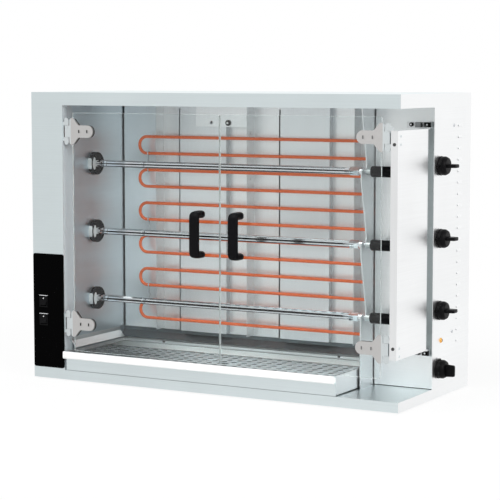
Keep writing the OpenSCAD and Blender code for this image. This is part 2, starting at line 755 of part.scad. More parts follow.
// spindle with its sprocket in the column and the square socket in the cooking space
module drive_socket(i) color(steel) place() {
    z = spit_zs[i];
    difference() {
        rod_x([spindle_x0, spindle_x1], spit_y, z, spindle_r);
        translate([0, spit_y, z]) rotate([spit_turns[i], 0, 0])
            slab([column_w + 2, spindle_x1 + cut], about(socket_sq), about(socket_sq));
    }
    sprocket(spit_y, z, spindle_r - 0.5);
}

module drive_socket_lower() drive_socket(0);
module drive_socket_middle() drive_socket(1);
module drive_socket_upper() drive_socket(2);

module motor_sprocket() color(dark_steel) place() {
    rod_x([gearbox_x0 + 14, sprocket_x + sprocket_t + 2], spit_y, chain_z, spindle_r);
    sprocket(spit_y, chain_z, spindle_r - 0.5);
}

// gearbox, motor can and the bracket on the base pan
module gear_motor() color("#6d7176") place() {
    can_x = (gearbox_x0 + gearbox_x1) / 2;
    difference() {
        union() {
            slab([gearbox_x0, gearbox_x1], shift(spit_y, about(gearbox_d)), shift(chain_z, about(gearbox_h)));
            rod_z(can_x, spit_y, shift(chain_z + gearbox_h / 2, [0, motor_l]), motor_r);
            rod_z(can_x, spit_y, shift(chain_z + gearbox_h / 2 + motor_l, [0, motor_cap]), motor_r - motor_cap);
            slab([gearbox_x1, gearbox_x1 + bracket_t], shift(spit_y, about(bracket_d)), [base_h, chain_z + gearbox_h / 2]);
            slab([gearbox_x0, gearbox_x1 + bracket_t], shift(spit_y, about(bracket_d)), [base_h, base_h + bracket_t]);
        }
        rod_x([gearbox_x0 + 12, gearbox_x1 + bracket_t + cut], spit_y, chain_z, spindle_r + run_gap);
    }
}

// stadium round the lowest and the highest wheel
module chain_loop(x, r) {
    for (z = [chain_z, spit_zs[2]]) rod_x(x, spit_y, z, r);
    slab(x, [spit_y - r, spit_y + r], [chain_z, spit_zs[2]]);
}

module drive_chain() color(dark_steel) place() {
    xs = [sprocket_x - 2, sprocket_x + sprocket_t + 0.5];
    for (x = xs) difference() {
        chain_loop([x, x + sheet], sprocket_pr + 4.5);
        chain_loop([x - cut, x + sheet + cut], sprocket_pr - 4.5);
    }
    // rollers in the straight runs, clear of the wheels
    wheels = concat([chain_z], spit_zs);
    for (w = [0:2], side = [-1, 1]) {
        z0 = wheels[w] + sprocket_pr + 12;
        count = floor((wheels[w + 1] - sprocket_pr - 12 - z0) / chain_pitch);
        for (i = [0:count]) rod_x([xs[0], xs[1] + sheet], spit_y + side * sprocket_pr, z0 + i * chain_pitch, 2.4);
    }
}

// ---------------------------------------------------------------- spits

// angle-section rod with a square shank, a stop ring, a block, a collar and a round neck
module spit_rod(i) color("#dfe3e6") place() translate([0, spit_y, spit_zs[i]]) rotate([spit_turns[i], 0, 0]) {
    flat_x0 = spindle_x1 + 4;
    slab([column_w + 4, flat_x0 + 14], about(shank), about(shank));
    along_x([flat_x0, spit_flat_x1]) translate([-spit_leg * 0.32, -spit_leg * 0.32])
        polygon([[0, 0], [spit_leg, 0], [spit_leg, spit_t], [spit_t, spit_t], [spit_t, spit_leg], [0, spit_leg]]);
    rod_x(shift(column_w + ring_x, about(3)), 0, 0, collar_r);
    slab([spit_flat_x1 - 14, spit_flat_x1 + 4], about(10), about(10));
    slab(shift(spit_flat_x1 + 2, [0, block_w]), about(block_sq), about(block_sq));
    rod_x([spit_flat_x1 + 2 + block_w, handle_x0], 0, 0, neck_r);
    rod_x(shift(cavity_x1 - 2, [-collar_w, 0]), 0, 0, collar_r);
    rod_x([handle_x0, handle_x0 + 60], 0, 0, tang_r);
}

module spit_rod_lower() spit_rod(0);
module spit_rod_middle() spit_rod(1);
module spit_rod_upper() spit_rod(2);

module spit_handle(i) color(black) place() translate([handle_x0, spit_y, spit_zs[i]]) rotate([0, 90, 0]) difference() {
    rotate_extrude() polygon([
        [0, 0], [spit_neck_r - 1, 0], [spit_neck_r, 1], [spit_neck_r, spit_neck_l],
        [spit_handle_r - 2, spit_neck_l], [spit_handle_r, spit_neck_l + 2],
        [spit_handle_r, spit_handle_l - 3], [spit_handle_r - 3, spit_handle_l], [0, spit_handle_l]
    ]);
    translate([0, 0, -cut]) cylinder(h = 61 + cut, r = tang_r + run_gap);
}

module spit_handle_lower() spit_handle(0);
module spit_handle_middle() spit_handle(1);
module spit_handle_upper() spit_handle(2);

// ---------------------------------------------------------------- doors

// places a hinge piece: u runs from the pin towards the glass, v is the depth, z the height
module left_hinge(z) { translate([left_pin_x, 0, z]) children(); }
module right_hinge(z) { translate([right_pin_x, 0, z]) mirror([1, 0, 0]) children(); }

leaf_y = [glass_y - leaf_t, glass_y];

// fixed part of a hinge: side flange at the distance reach behind the pin, front plate and two ears
module hinge_bracket(reach) {
    arm_u0 = max(-reach, -14);
    slab([-reach, -reach + sheet], [leaf_y[0], pin_y + 24], flange_z);
    along_y(leaf_y) {
        translate([-reach, flange_z[0]]) square([reach - arm_gap, flange_z[1] - flange_z[0]]);
        translate([arm_u0, -ear_z0 - ear_l]) square([-arm_gap - arm_u0, 2 * (ear_z0 + ear_l)]);
    }
    for (s = [0, 1]) mirror([0, 0, s]) {
        difference() {
            union() {
                along_y(leaf_y) {
                    translate([arm_u0, ear_z0]) square([fixed_u1 - arm_u0, ear_l]);
                    translate([-fixed_u1, ear_z0]) square([2 * fixed_u1, lobe_h - fixed_u1 - ear_z0]);
                    translate([0, lobe_h - fixed_u1]) circle(fixed_u1);
                }
                slab([-4, 4], [leaf_y[0], pin_y], [ear_z0, ear_z0 + ear_l]);
                rod_z(0, pin_y, [ear_z0, ear_z0 + ear_l], knuckle_r);
            }
            rod_z(0, pin_y, [ear_z0 - cut, ear_z0 + ear_l + cut], hinge_pin_r);
        }
    }
    rod_z(0, pin_y, about(2 * (ear_z0 + ear_l + 1)), hinge_pin_r);
}

// moving part: knuckle, lobed plate with a round tongue, rear clamp plate and two screws
module hinge_leaf() {
    difference() {
        union() {
            rod_z(0, pin_y, about(barrel_l), knuckle_r);
            slab([-4, 4], [leaf_y[0], pin_y], about(barrel_l));
            along_y(leaf_y) leaf_outline();
        }
        rod_z(0, pin_y, about(barrel_l + 2 * cut), hinge_pin_r + run_gap);
        rod_y(4, [leaf_y[0] - cut, leaf_y[0] + 1], 10, 2.2);
    }
    along_y(shift(glass_y + glass_t, [0, clamp_t])) intersection() {
        leaf_outline();
        translate([glass_to_pin + 6, -lobe_h]) square([leaf_reach, 2 * lobe_h]);
    }
    for (u = leaf_screws) {
        screw_y(u, leaf_y[0], 0);
        rod_y(u, [glass_y, glass_y + glass_t], 0, screw_r);
    }
}

// plate of the moving part, seen from the front
module leaf_outline() {
    flank_z = lobe_h - lobe_r + lobe_r * sin(40);
    flank_u = lobe_u0 + lobe_r * (1 + cos(40));
    translate([-5, -barrel_l / 2]) square([lobe_u0 + 2 * lobe_r, barrel_l]);
    for (s = [-1, 1]) translate([lobe_u0 + lobe_r, s * (lobe_h - lobe_r)]) circle(lobe_r);
    polygon([
        [lobe_u0, lobe_r - lobe_h], [flank_u, -flank_z], [flank_u + 14, -tongue_r], [flank_u + 14, tongue_r],
        [flank_u, flank_z], [lobe_u0, lobe_h - lobe_r]
    ]);
    translate([flank_u, -tongue_r]) square([leaf_reach - tongue_r - flank_u, 2 * tongue_r]);
    translate([leaf_reach - tongue_r, 0]) circle(tongue_r);
}

module left_hinge_brackets() color(pink_steel) place() for (z = hinge_zs) left_hinge(z) hinge_bracket(pin_to_wall);
module left_hinge_leaves() color(pink_steel) place() for (z = hinge_zs) left_hinge(z) hinge_leaf();
module right_hinge_brackets() color(pink_steel) place() for (i = [0, 1]) {
    right_hinge(hinge_zs[i]) hinge_bracket(guard_x1 - sheet - right_pin_x);
    // rivets on the guard's side and a screw on its front strip
    for (z = rivet_zs) rod_x([guard_x1, guard_x1 + screw_head_h], rivet_y, hinge_zs[i] + z, rivet_r);
    screw_y(guard_strip_x + guard_strip / 2, 0, hinge_zs[i] + rivet_zs[i]);
}
module right_hinge_leaves() color(pink_steel) place()
    for (z = hinge_zs) right_hinge(z) hinge_leaf();

// toughened glass, drilled for the hinge and handle screws; u runs from the pin
module door_glass() difference() {
    along_y(shift(glass_y, [0, glass_t]))
        round_rect([glass_to_pin, glass_to_pin + glass_w], [glass_z0, glass_z1], 4);
    for (z = hinge_zs, u = leaf_screws) rod_y(u, shift(glass_y, [-cut, glass_t + cut]), z, glass_hole_r);
    for (s = [-1, 1]) rod_y(handle_u, shift(glass_y, [-cut, glass_t + cut]), hz + s * (handle_l / 2 - 9), glass_hole_r);
}

handle_u = door_mid - handle_off - left_pin_x;

module left_glass() color([0.75, 0.85, 0.85, 0.35]) place() left_hinge(0) door_glass();
module right_glass() color([0.75, 0.85, 0.85, 0.35]) place() right_hinge(0) door_glass();

// bow handle with slanted elbows, and the nuts behind the glass
module door_handle() {
    y0 = glass_y - handle_reach;
    z0 = hz - handle_l / 2;
    z1 = hz + handle_l / 2;
    along_x(shift(handle_u, about(handle_w))) difference() {
        polygon([
            [glass_y, z0], [y0 + 14, z0], [y0 + 4, z0 + 4], [y0, z0 + 12],
            [y0, z1 - 16], [y0 + 4, z1 - 8], [y0 + 16, z1], [glass_y, z1]
        ]);
        polygon([
            [glass_y + cut, z0 + 18], [y0 + handle_t + 5, z0 + 18], [y0 + handle_t, z0 + 23],
            [y0 + handle_t, z1 - 27], [y0 + handle_t + 6, z1 - 20], [glass_y + cut, z1 - 20]
        ]);
    }
    for (z = [z0 + 9, z1 - 9]) {
        rod_y(handle_u, [glass_y, glass_y + glass_t], z, screw_r);
        rod_y(handle_u, shift(glass_y + glass_t, [0, 4]), z, 7);
    }
}

module left_handle() color(black) place() left_hinge(0) door_handle();
module right_handle() color(black) place() right_hinge(0) door_handle();

// ---------------------------------------------------------------- side guard

// folded sheet that closes the handle recess: front strip, side face and two pivot lugs
module side_guard() color(steel) place() difference() {
    union() {
        slab([guard_strip_x, guard_x1], [0, sheet], [guard_z0, guard_z1]);
        slab([guard_x1 - sheet, guard_x1], [0, guard_d], [guard_z0, guard_z1]);
        slab([guard_x1 - 10, guard_x1], [sheet, guard_d], [guard_z1 - sheet, guard_z1]);
        slab([guard_x1 - 10, guard_x1], [sheet, guard_d], [guard_z0, guard_z0 + sheet]);
        for (z = [guard_z0, guard_z1 - sheet]) {
            slab([guard_pin_x - lug_w / 2, guard_x1], [guard_d - 20, guard_pin_y], [z, z + sheet]);
            rod_z(guard_pin_x, guard_pin_y, [z, z + sheet], lug_w / 2);
        }
    }
    rod_z(guard_pin_x, guard_pin_y, [guard_z0 - cut, guard_z1 + cut], guard_pin_r + run_gap);
}

// pivot brackets on the recess wall, above and below the guard: leaf, flange, clamp blocks and bolt
module guard_brackets() color("#b9bdbf") place() for (s = [1, -1]) {
    z = s > 0 ? guard_z1 + pivot_gap : guard_z0 - pivot_gap;
    flange_y = recess_d - pivot_leaf_t;
    translate([0, 0, z]) mirror([0, 0, s < 0 ? 1 : 0]) {
        slab([guard_pin_x - pivot_leaf_w, guard_pin_x + 8], [guard_pin_y - 8, recess_d], [0, pivot_leaf_t]);
        slab([guard_pin_x - 2 * pivot_leaf_w, guard_pin_x + 8], [flange_y, recess_d], [0, pivot_flange_h]);
        for (k = [0, 1])
            slab(shift(guard_pin_x - k * pivot_block_pitch, about(pivot_block_w)), [flange_y - 9, flange_y],
                [pivot_leaf_t, pivot_flange_h - 1]);
        rod_y(guard_pin_x - pivot_bolt_off, [flange_y - 5, flange_y], 9, 5.5);
        rod_y(guard_pin_x - pivot_bolt_off, [flange_y - 7, flange_y - 5], 9, 2.2);
        rod_z(guard_pin_x, guard_pin_y, [-8, 0], guard_pin_r);
        rod_z(guard_pin_x, guard_pin_y, [pivot_leaf_t, pivot_leaf_t + 4], 6);
        rod_y(guard_pin_x, [flange_y - 11, flange_y - 9], 9, 2.2);
    }
}

// ---------------------------------------------------------------- drip drawer

module plate_ledge(y) slab([drawer_x0 + sheet, drawer_x1 - sheet], [y, y + ledge], [plate_z - sheet, plate_z]);

// tray: bottom, sides and rear folded from one sheet, with the rear ledge for the perforated plate
module drip_drawer() color(steel) place() {
    difference() {
        slab([drawer_x0, drawer_x1], [sheet, drawer_d], [drawer_z0, drawer_z1]);
        slab([drawer_x0 + sheet, drawer_x1 - sheet], [sheet - cut, drawer_d - sheet],
            [drawer_z0 + sheet, drawer_z1 + cut]);
    }
    plate_ledge(drawer_d - sheet - ledge);
}

// front plate over the runners' ends, with the rolled lip to pull it by and the front ledge
module drawer_front() color(steel) place() {
    slab([drawer_x0, drawer_x1], [0, sheet], [base_h + front_gap, drawer_z1]);
    along_x([lip_x0, lip_x1]) translate([-lip_reach, drawer_z1 - lip_h]) {
        round_rect([0, lip_reach], [0, lip_h], lip_reach / 2 - 0.01);
        translate([lip_reach / 2, 0]) square([lip_reach / 2, lip_h]);
    }
    plate_ledge(sheet);
}

// loose plate with round holes in rows and a slot to lift it by
module perforated_plate() color("#aeb3b6") place() translate([0, 0, plate_z]) linear_extrude(plate_t) difference() {
    x0 = drawer_x0 + sheet + seat_gap;
    x1 = drawer_x1 - sheet - seat_gap;
    y0 = sheet + seat_gap;
    y1 = drawer_d - sheet - seat_gap;
    grip = [(x0 + x1) / 2 + 40, y0 + 75];
    columns = floor((x1 - x0 - 30) / hole_pitch_x);
    rows = floor((y1 - y0 - 24) / hole_pitch_y);
    translate([x0, y0]) square([x1 - x0, y1 - y0]);
    for (i = [-columns / 2:columns / 2], j = [-rows / 2:rows / 2]) {
        x = (x0 + x1) / 2 + i * hole_pitch_x;
        y = (y0 + y1) / 2 + j * hole_pitch_y;
        if (abs(x - grip[0]) > grip_l / 2 + hole_r + 2 || abs(y - grip[1]) > grip_w / 2 + hole_r + 2)
            translate([x, y]) circle(hole_r);
    }
    translate(grip) round_rect(about(grip_l), about(grip_w), grip_w / 2 - 0.01);
}

module casing_screws() color("#9aa0a4") place() {
    for (z = [wall_top - 48, base_h + 135]) screw_x(casing_w, recess_d + 128, z);
    for (x = [column_w / 2, casing_w / 3, casing_w * 2 / 3, casing_w - 60], z = [base_h + 14, wall_top - 14])
        translate([x, casing_d, z]) mirror([0, 1, 0]) screw_y(0, 0, 0);
    for (y = [40, casing_d - 40], z = [base_h + 14, wall_top - 14])
        translate([0, y, z]) mirror([1, 0, 0]) screw_x(0, 0, 0);
}

base_pan();
rubber_feet();
top_cover();
column_front();
left_side_panel();
back_panel();
right_side_panel();
recess_wall();
left_wall();
spit_support_wall();
rear_wall();
reflector_channels();
fat_deflectors();
drawer_runners();
element_lower();
element_middle();
element_upper();
element_supports();
element_terminals();
lamp_plate();
oven_lamp();
control_panel();
rocker_housings();
pilot_lamp();
regulators();
terminal_block();
cable_gland();
spindle_bearings();
gear_motor();
drive_chain();
guard_brackets();
left_hinge_brackets();
casing_screws();
left_glass();
left_handle();
left_hinge_leaves();
side_guard();
right_hinge_brackets();
right_glass();
right_handle();
right_hinge_leaves();
drive_socket_lower();
drive_socket_middle();
drive_socket_upper();
spit_rod_lower();
spit_rod_middle();
spit_rod_upper();
spit_handle_lower();
spit_handle_middle();
spit_handle_upper();
motor_sprocket();
knob_upper();
knob_middle();
knob_lower();
knob_main();
rocker_motor();
rocker_lamp();
drip_drawer();
drawer_front();
perforated_plate();
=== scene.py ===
import math
import bpy
import numpy as np
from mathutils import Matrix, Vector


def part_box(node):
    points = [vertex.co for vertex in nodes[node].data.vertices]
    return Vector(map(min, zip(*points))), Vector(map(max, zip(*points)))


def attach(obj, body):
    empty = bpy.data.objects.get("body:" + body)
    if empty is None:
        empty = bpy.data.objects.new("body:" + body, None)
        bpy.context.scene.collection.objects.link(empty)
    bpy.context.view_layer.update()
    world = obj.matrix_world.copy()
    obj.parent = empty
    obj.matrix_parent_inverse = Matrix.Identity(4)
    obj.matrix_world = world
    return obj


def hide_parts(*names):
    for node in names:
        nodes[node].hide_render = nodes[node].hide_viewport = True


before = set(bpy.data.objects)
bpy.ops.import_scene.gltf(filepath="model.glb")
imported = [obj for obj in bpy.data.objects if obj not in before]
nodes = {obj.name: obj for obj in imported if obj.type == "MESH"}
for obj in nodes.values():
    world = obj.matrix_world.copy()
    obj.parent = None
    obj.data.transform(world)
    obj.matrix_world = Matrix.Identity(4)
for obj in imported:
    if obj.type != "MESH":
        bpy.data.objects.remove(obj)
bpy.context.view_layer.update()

# ------------------------------------------------------------------ studio
# White sweep of a product shoot: a pale floor in a soft room, both dimmer in front of the
# grill than behind it, one broad lamp over the right shoulder and one from the top.
CASING_CORNER = np.array([-0.5724, -0.217, 0.004])
SIGHT = (0.487, 0.874, 0.0)
FRONT_TONE, REAR_TONE, ROOM_LIGHT = 0.78, 1.0, 0.62


def at(x, y, z):
    """A point in millimetres from the casing's front left bottom corner, in the row frame."""
    return CASING_CORNER + np.array([x, y, z]) / 1000


def add(tree, kind, operation=None, links=(), **values):
    """A node of that kind in the tree. Links are (input, socket) pairs, a value's key names its input, and
    _1 is the input with that number."""
    made = tree.nodes.new("ShaderNode" + kind)
    if operation:
        made.operation = operation
    for key, value in values.items():
        made.inputs[int(key[1:]) if key[1:].isdigit() else key.replace("_", " ")].default_value = value
    for key, socket in links:
        tree.links.new(socket, made.inputs[key])
    return made


scene = bpy.context.scene
scene.view_settings.view_transform = "Standard"

# the camera's place and turn come from the photo, and its focal length is in the photo's pixels
FOCAL_LENGTH, PHOTO_WIDTH = 1756.8, 500
DOWN, LEFT = 5.76, 29.11
camera = bpy.data.objects.new("camera", bpy.data.cameras.new("camera"))
scene.collection.objects.link(camera)
scene.camera = camera
camera.data.sensor_width = 36
camera.data.lens = camera.data.sensor_width * FOCAL_LENGTH / PHOTO_WIDTH
camera.data.clip_end = 60
camera.location = at(2856, -3905, 835)
camera.rotation_euler = (math.radians(90 - DOWN), 0, math.radians(LEFT))

world = bpy.data.worlds.new("white_room")
scene.world = world
world.use_nodes = True
room = world.node_tree
room.nodes.clear()
# the eye sees white, metal and glass see the fade, and the rest gets the room's soft light
around = add(room, "TexCoord")
behind = add(room, "VectorMath", "DOT_PRODUCT", [(0, around.outputs["Generated"])], _1=SIGHT)
fade = add(room, "MapRange", None, [("Value", behind.outputs["Value"])],
           From_Min=-1.0, From_Max=0.35, To_Min=FRONT_TONE, To_Max=REAR_TONE)
path = add(room, "LightPath")
mirrored = add(room, "Math", "MAXIMUM",
               [(0, path.outputs["Is Glossy Ray"]), (1, path.outputs["Is Transmission Ray"])])
by_gloss = add(room, "Mix", None, [("Factor", mirrored.outputs[0]), ("B", fade.outputs["Result"])],
               A=ROOM_LIGHT)
by_eye = add(room, "Mix", None,
             [("Factor", path.outputs["Is Camera Ray"]), ("A", by_gloss.outputs["Result"])], B=1.0)
air = add(room, "Background", None, [("Strength", by_eye.outputs["Result"])], Color=(1, 1, 1, 1))
add(room, "OutputWorld", None, [("Surface", air.outputs[0])])


def area_lamp(name, place, aim, size, power):
    """A square softbox of the side size at place, turned so that it faces aim."""
    lamp = bpy.data.lights.new(name, "AREA")
    lamp.shape, lamp.size, lamp.energy = "SQUARE", size, power
    holder = bpy.data.objects.new(name, lamp)
    scene.collection.objects.link(holder)
    way = np.array(place) - np.array(aim)
    holder.location = place
    holder.rotation_euler = (math.atan2(math.hypot(way[0], way[1]), way[2]), 0, math.atan2(way[0], -way[1]))


area_lamp("right_softbox", (3.6, -1.6, 2.4), (0.3, 0, 0.4), size=2.4, power=75)
area_lamp("top_softbox", (-0.6, -1.8, 3.2), (0, 0, 0.4), size=2.0, power=55)

floor_mesh = bpy.data.meshes.new("floor")
floor_mesh.from_pydata([(-9, -9, 0), (9, -9, 0), (9, 9, 0), (-9, 9, 0)], [], [(0, 1, 2, 3)])
floor = bpy.data.objects.new("floor", floor_mesh)
scene.collection.objects.link(floor)
sweep = bpy.data.materials.new("white_sweep")
sweep.use_nodes = True
tree = sweep.node_tree
tree.nodes.clear()
spot = add(tree, "TexCoord")
# the eye sees the floor nearly white under the grill, and white from 1.7 m away
away = add(tree, "VectorMath", "LENGTH", [(0, spot.outputs["Object"])])
far = add(tree, "MapRange", None, [("Value", away.outputs["Value"])],
          From_Min=0.75, From_Max=1.7, To_Min=0.88, To_Max=1.0)
behind = add(tree, "VectorMath", "DOT_PRODUCT", [(0, spot.outputs["Object"])], _1=SIGHT)
tone = add(tree, "MapRange", None, [("Value", behind.outputs["Value"])],
           From_Min=-0.5, From_Max=0.6, To_Min=FRONT_TONE, To_Max=REAR_TONE)
ray = add(tree, "LightPath")
seen = add(tree, "Math", "MULTIPLY", [(0, ray.outputs["Is Camera Ray"]), (1, far.outputs["Result"])])
mirrored = add(tree, "Math", "MAXIMUM",
               [(0, ray.outputs["Is Glossy Ray"]), (1, ray.outputs["Is Transmission Ray"])])
part_lit = add(tree, "Math", "MULTIPLY", [(0, mirrored.outputs[0])], _1=0.9)
share = add(tree, "Math", "MAXIMUM", [(0, seen.outputs[0]), (1, part_lit.outputs[0])])
strength = add(tree, "Mix", None, [("Factor", ray.outputs["Is Camera Ray"]), ("A", tone.outputs["Result"])],
               B=1.0)
chalk = add(tree, "BsdfDiffuse", None, Color=(0.92, 0.92, 0.92, 1))
lit = add(tree, "Emission", None, [("Strength", strength.outputs["Result"])])
blend = add(tree, "MixShader", None, [("Fac", share.outputs[0]), (1, chalk.outputs[0]), (2, lit.outputs[0])])
add(tree, "OutputMaterial", None, [("Surface", blend.outputs[0])])
floor_mesh.materials.append(sweep)

# ------------------------------------------------------------------ casing sheets
# Header box, base pan, column, side panels and recess wall: 1.5 mm stainless sheet with a
# satin grain along its length, folded and spot-welded.


def effect(name, inputs, outputs):
    """An empty shader node group with these named sockets, and its two end nodes."""
    group = bpy.data.node_groups.new(name, "ShaderNodeTree")
    for label, kind, value in inputs:
        socket = group.interface.new_socket(label, in_out="INPUT", socket_type="NodeSocket" + kind)
        if value is not None:
            socket.default_value = value
    for label, kind in outputs:
        group.interface.new_socket(label, in_out="OUTPUT", socket_type="NodeSocket" + kind)
    return group, group.nodes.new("NodeGroupInput"), group.nodes.new("NodeGroupOutput")


def rolled_surface():
    """Grain of rolled and brushed sheet: noise drawn out along the sheet and slow clouds from handling."""
    group, given, result = effect(
        "rolled_surface",
        [("Place", "Vector", None), ("Grain", "Vector", (4, 900, 1500)),
         ("Tint", "Color", (0.7, 0.7, 0.7, 1)), ("Roughness", "Float", 0.3), ("Spread", "Float", 0.1),
         ("Depth", "Float", 0.15)],
        [("Colour", "Color"), ("Roughness", "Float"), ("Normal", "Vector")])
    drawn = add(group, "VectorMath", "MULTIPLY", [(0, given.outputs["Place"]), (1, given.outputs["Grain"])])
    streak = add(group, "TexNoise", None, [("Vector", drawn.outputs[0])],
                 Scale=1.0, Detail=5.0, Roughness=0.62)
    cloud = add(group, "TexNoise", None, [("Vector", given.outputs["Place"])], Scale=5.0, Detail=3.0)
    fine = add(group, "Math", "MULTIPLY", [(0, streak.outputs["Fac"])], _1=0.62)
    both = add(group, "Math", "MULTIPLY_ADD", [(0, cloud.outputs["Fac"]), (2, fine.outputs[0])], _1=0.38)
    dim = add(group, "MapRange", None, [("Value", both.outputs[0])],
              From_Min=0.3, From_Max=0.7, To_Min=0.93, To_Max=1.04)
    shade = add(group, "VectorMath", "SCALE", [(0, given.outputs["Tint"]), ("Scale", dim.outputs[0])])
    centred = add(group, "Math", "SUBTRACT", [(0, both.outputs[0])], _1=0.5)
    rough = add(group, "Math", "MULTIPLY_ADD",
                [(0, centred.outputs[0]), (1, given.outputs["Spread"]), (2, given.outputs["Roughness"])])
    relief = add(group, "Bump", None,
                 [("Height", streak.outputs["Fac"]), ("Strength", given.outputs["Depth"])], Distance=0.0003)
    group.links.new(shade.outputs[0], result.inputs["Colour"])
    group.links.new(rough.outputs[0], result.inputs["Roughness"])
    group.links.new(relief.outputs[0], result.inputs["Normal"])
    return group


ROLLED = rolled_surface()


def finish_with(name, group, values, **shader):
    """A material whose principled shader takes colour, roughness and normal from the surface group."""
    made = bpy.data.materials.new(name)
    made.use_nodes = True
    tree = made.node_tree
    skin = tree.nodes["Principled BSDF"]
    surface = tree.nodes.new("ShaderNodeGroup")
    surface.node_tree = group
    place = add(tree, "TexCoord")
    tree.links.new(place.outputs["Object"], surface.inputs["Place"])
    for key, value in values.items():
        surface.inputs[key].default_value = value
    tree.links.new(surface.outputs["Colour"], skin.inputs["Base Color"])
    tree.links.new(surface.outputs["Roughness"], skin.inputs["Roughness"])
    tree.links.new(surface.outputs["Normal"], skin.inputs["Normal"])
    for key, value in shader.items():
        skin.inputs[key.replace("_", " ")].default_value = value
    return made


def sheet_steel(name, tint, roughness, grain, depth=0.15, spread=0.1, **shader):
    """A metal with the rolled surface. Its grain is a scale for each axis, the lowest along the streaks."""
    values = {"Tint": (*tint, 1), "Roughness": roughness, "Grain": grain, "Depth": depth, "Spread": spread}
    return finish_with(name, ROLLED, values, **{"Metallic": 1.0, **shader})


def zone_mask():
    """1 where the fourth powers of (place - centre) * weight add up to less than 1, else 0: a block with
    round edges. A weight is one over the zone's half-width along that axis, and 0 leaves the axis free."""
    group, given, result = effect("zone_mask", [("Place", "Vector", None), ("Centre", "Vector", (0, 0, 0)),
                                                ("Weight", "Vector", (1, 1, 1))], [("Mask", "Float")])
    apart = add(group, "VectorMath", "SUBTRACT", [(0, given.outputs["Place"]), (1, given.outputs["Centre"])])
    scaled = add(group, "VectorMath", "MULTIPLY", [(0, apart.outputs[0]), (1, given.outputs["Weight"])])
    square = add(group, "VectorMath", "MULTIPLY", [(0, scaled.outputs[0]), (1, scaled.outputs[0])])
    length = add(group, "VectorMath", "LENGTH", [(0, square.outputs[0])])
    inside = add(group, "Math", "LESS_THAN", [(0, length.outputs["Value"])], _1=1.0)
    group.links.new(inside.outputs[0], result.inputs["Mask"])
    return group


ZONE = zone_mask()
# a Mix node's sockets for colours, which share their names with those for numbers
COLOUR_A, COLOUR_B, COLOUR_OUT = 6, 7, 2


def inlay(material, tone, centre, half, metallic=None):
    """Gives the material another colour inside a zone round the centre with these half-widths, both in
    millimetres from the casing's corner. None leaves an axis free. Metallic may change there too."""
    tree = material.node_tree
    skin = tree.nodes["Principled BSDF"]
    mask = tree.nodes.new("ShaderNodeGroup")
    mask.node_tree = ZONE
    mask.inputs["Centre"].default_value = at(*centre)
    mask.inputs["Weight"].default_value = [0 if h is None else 1000 / h for h in half]
    tree.links.new(tree.nodes["Texture Coordinate"].outputs["Object"], mask.inputs["Place"])
    mixed = add(tree, "Mix")
    mixed.data_type = "RGBA"
    tree.links.new(mask.outputs["Mask"], mixed.inputs["Factor"])
    tree.links.new(skin.inputs["Base Color"].links[0].from_socket, mixed.inputs[COLOUR_A])
    mixed.inputs[COLOUR_B].default_value = (*tone, 1)
    tree.links.new(mixed.outputs[COLOUR_OUT], skin.inputs["Base Color"])
    if metallic is not None:
        before = skin.inputs["Metallic"]
        change = add(tree, "Mix", None, [("Factor", mask.outputs["Mask"])],
                     A=before.default_value, B=metallic)
        if before.is_linked:
            tree.links.new(before.links[0].from_socket, change.inputs["A"])
        tree.links.new(change.outputs["Result"], before)


def dress(material, *names):
    """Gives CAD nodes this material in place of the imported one."""
    for name in names:
        mesh = nodes[name].data
        mesh.materials.clear()
        mesh.materials.append(material)


# the sheets are one steel, with tints set lighter or darker as light falls on their faces: painted light and
# shade
satin_long = sheet_steel("satin_steel_long", (0.78, 0.86, 0.875), 0.34, (4, 900, 1500))
# the folds at the right end are lighter than the fronts: painted light on the faces turned to the right
inlay(satin_long, (0.95, 0.96, 0.965), (1104, 0, 0), (5, None, None))
satin_deep = sheet_steel("satin_steel_deep", (0.96, 0.97, 0.975), 0.34, (900, 4, 1500))
dress(satin_long, "base_pan", "top_cover", "column_front", "back_panel")
dress(satin_deep, "left_side_panel", "right_side_panel")

# the recess wall has painted shade behind the guard's edge, and a thin painted shade line at its foot for the
# gap to the base pan
recess_steel = sheet_steel("satin_steel_recess", (0.96, 0.98, 0.985), 0.38, (4, 900, 1500))
inlay(recess_steel, (0.38, 0.42, 0.43), (1092, 0, 412), (30, None, 300))
inlay(recess_steel, (0.03, 0.03, 0.03), (0, 0, 26), (None, None, 1.6))
dress(recess_steel, "recess_wall")

# ------------------------------------------------------------------ cooking space
# Walls, reflector channels and fat deflectors of stainless sheet with a soft shine, so they
# mirror the tubes and the hubs only as blurred bands. All are folded and screwed in.
# one steel throughout, with tints set lighter at the rear and darker at the left wall as light falls on each
# piece: painted light and shade
left_steel = sheet_steel("shaded_steel_wall", (0.65, 0.73, 0.78), 0.36, (900, 5, 60), 0.05, 0.06)
seat_steel = sheet_steel("steel_seats_painted_light", (0.80, 0.83, 0.85), 0.36, (900, 5, 60), 0.05, 0.06)
rear_steel = sheet_steel("steel_rear_painted_light", (0.95, 0.97, 0.98), 0.37, (900, 900, 5), 0.05, 0.06)
channel_steel = sheet_steel("steel_channel_painted_light", (0.86, 0.89, 0.91), 0.37, (900, 900, 5), 0.05, 0.06)
deflector_steel = sheet_steel("deflector_steel", (0.78, 0.80, 0.81), 0.40, (5, 5, 900), 0.08)
support_steel = sheet_steel("support_steel", (0.74, 0.76, 0.77), 0.40, (5, 5, 900), 0.08)
# the left wall's front strip is dull, and the channels' flanks and the rear deflector lie in painted shade
inlay(left_steel, (0.60, 0.66, 0.69), (0, 20, 0), (None, 27, None), 0.0)
inlay(channel_steel, (0.52, 0.55, 0.57), (0, 291, 0), (None, 9, None))
inlay(deflector_steel, (0.13, 0.155, 0.165), (0, 300, 0), (None, 24, None))
dress(left_steel, "left_wall")
dress(seat_steel, "spit_support_wall")
dress(rear_steel, "rear_wall", "lamp_plate")
dress(channel_steel, "reflector_channels")
dress(deflector_steel, "fat_deflectors")
dress(support_steel, "element_supports")
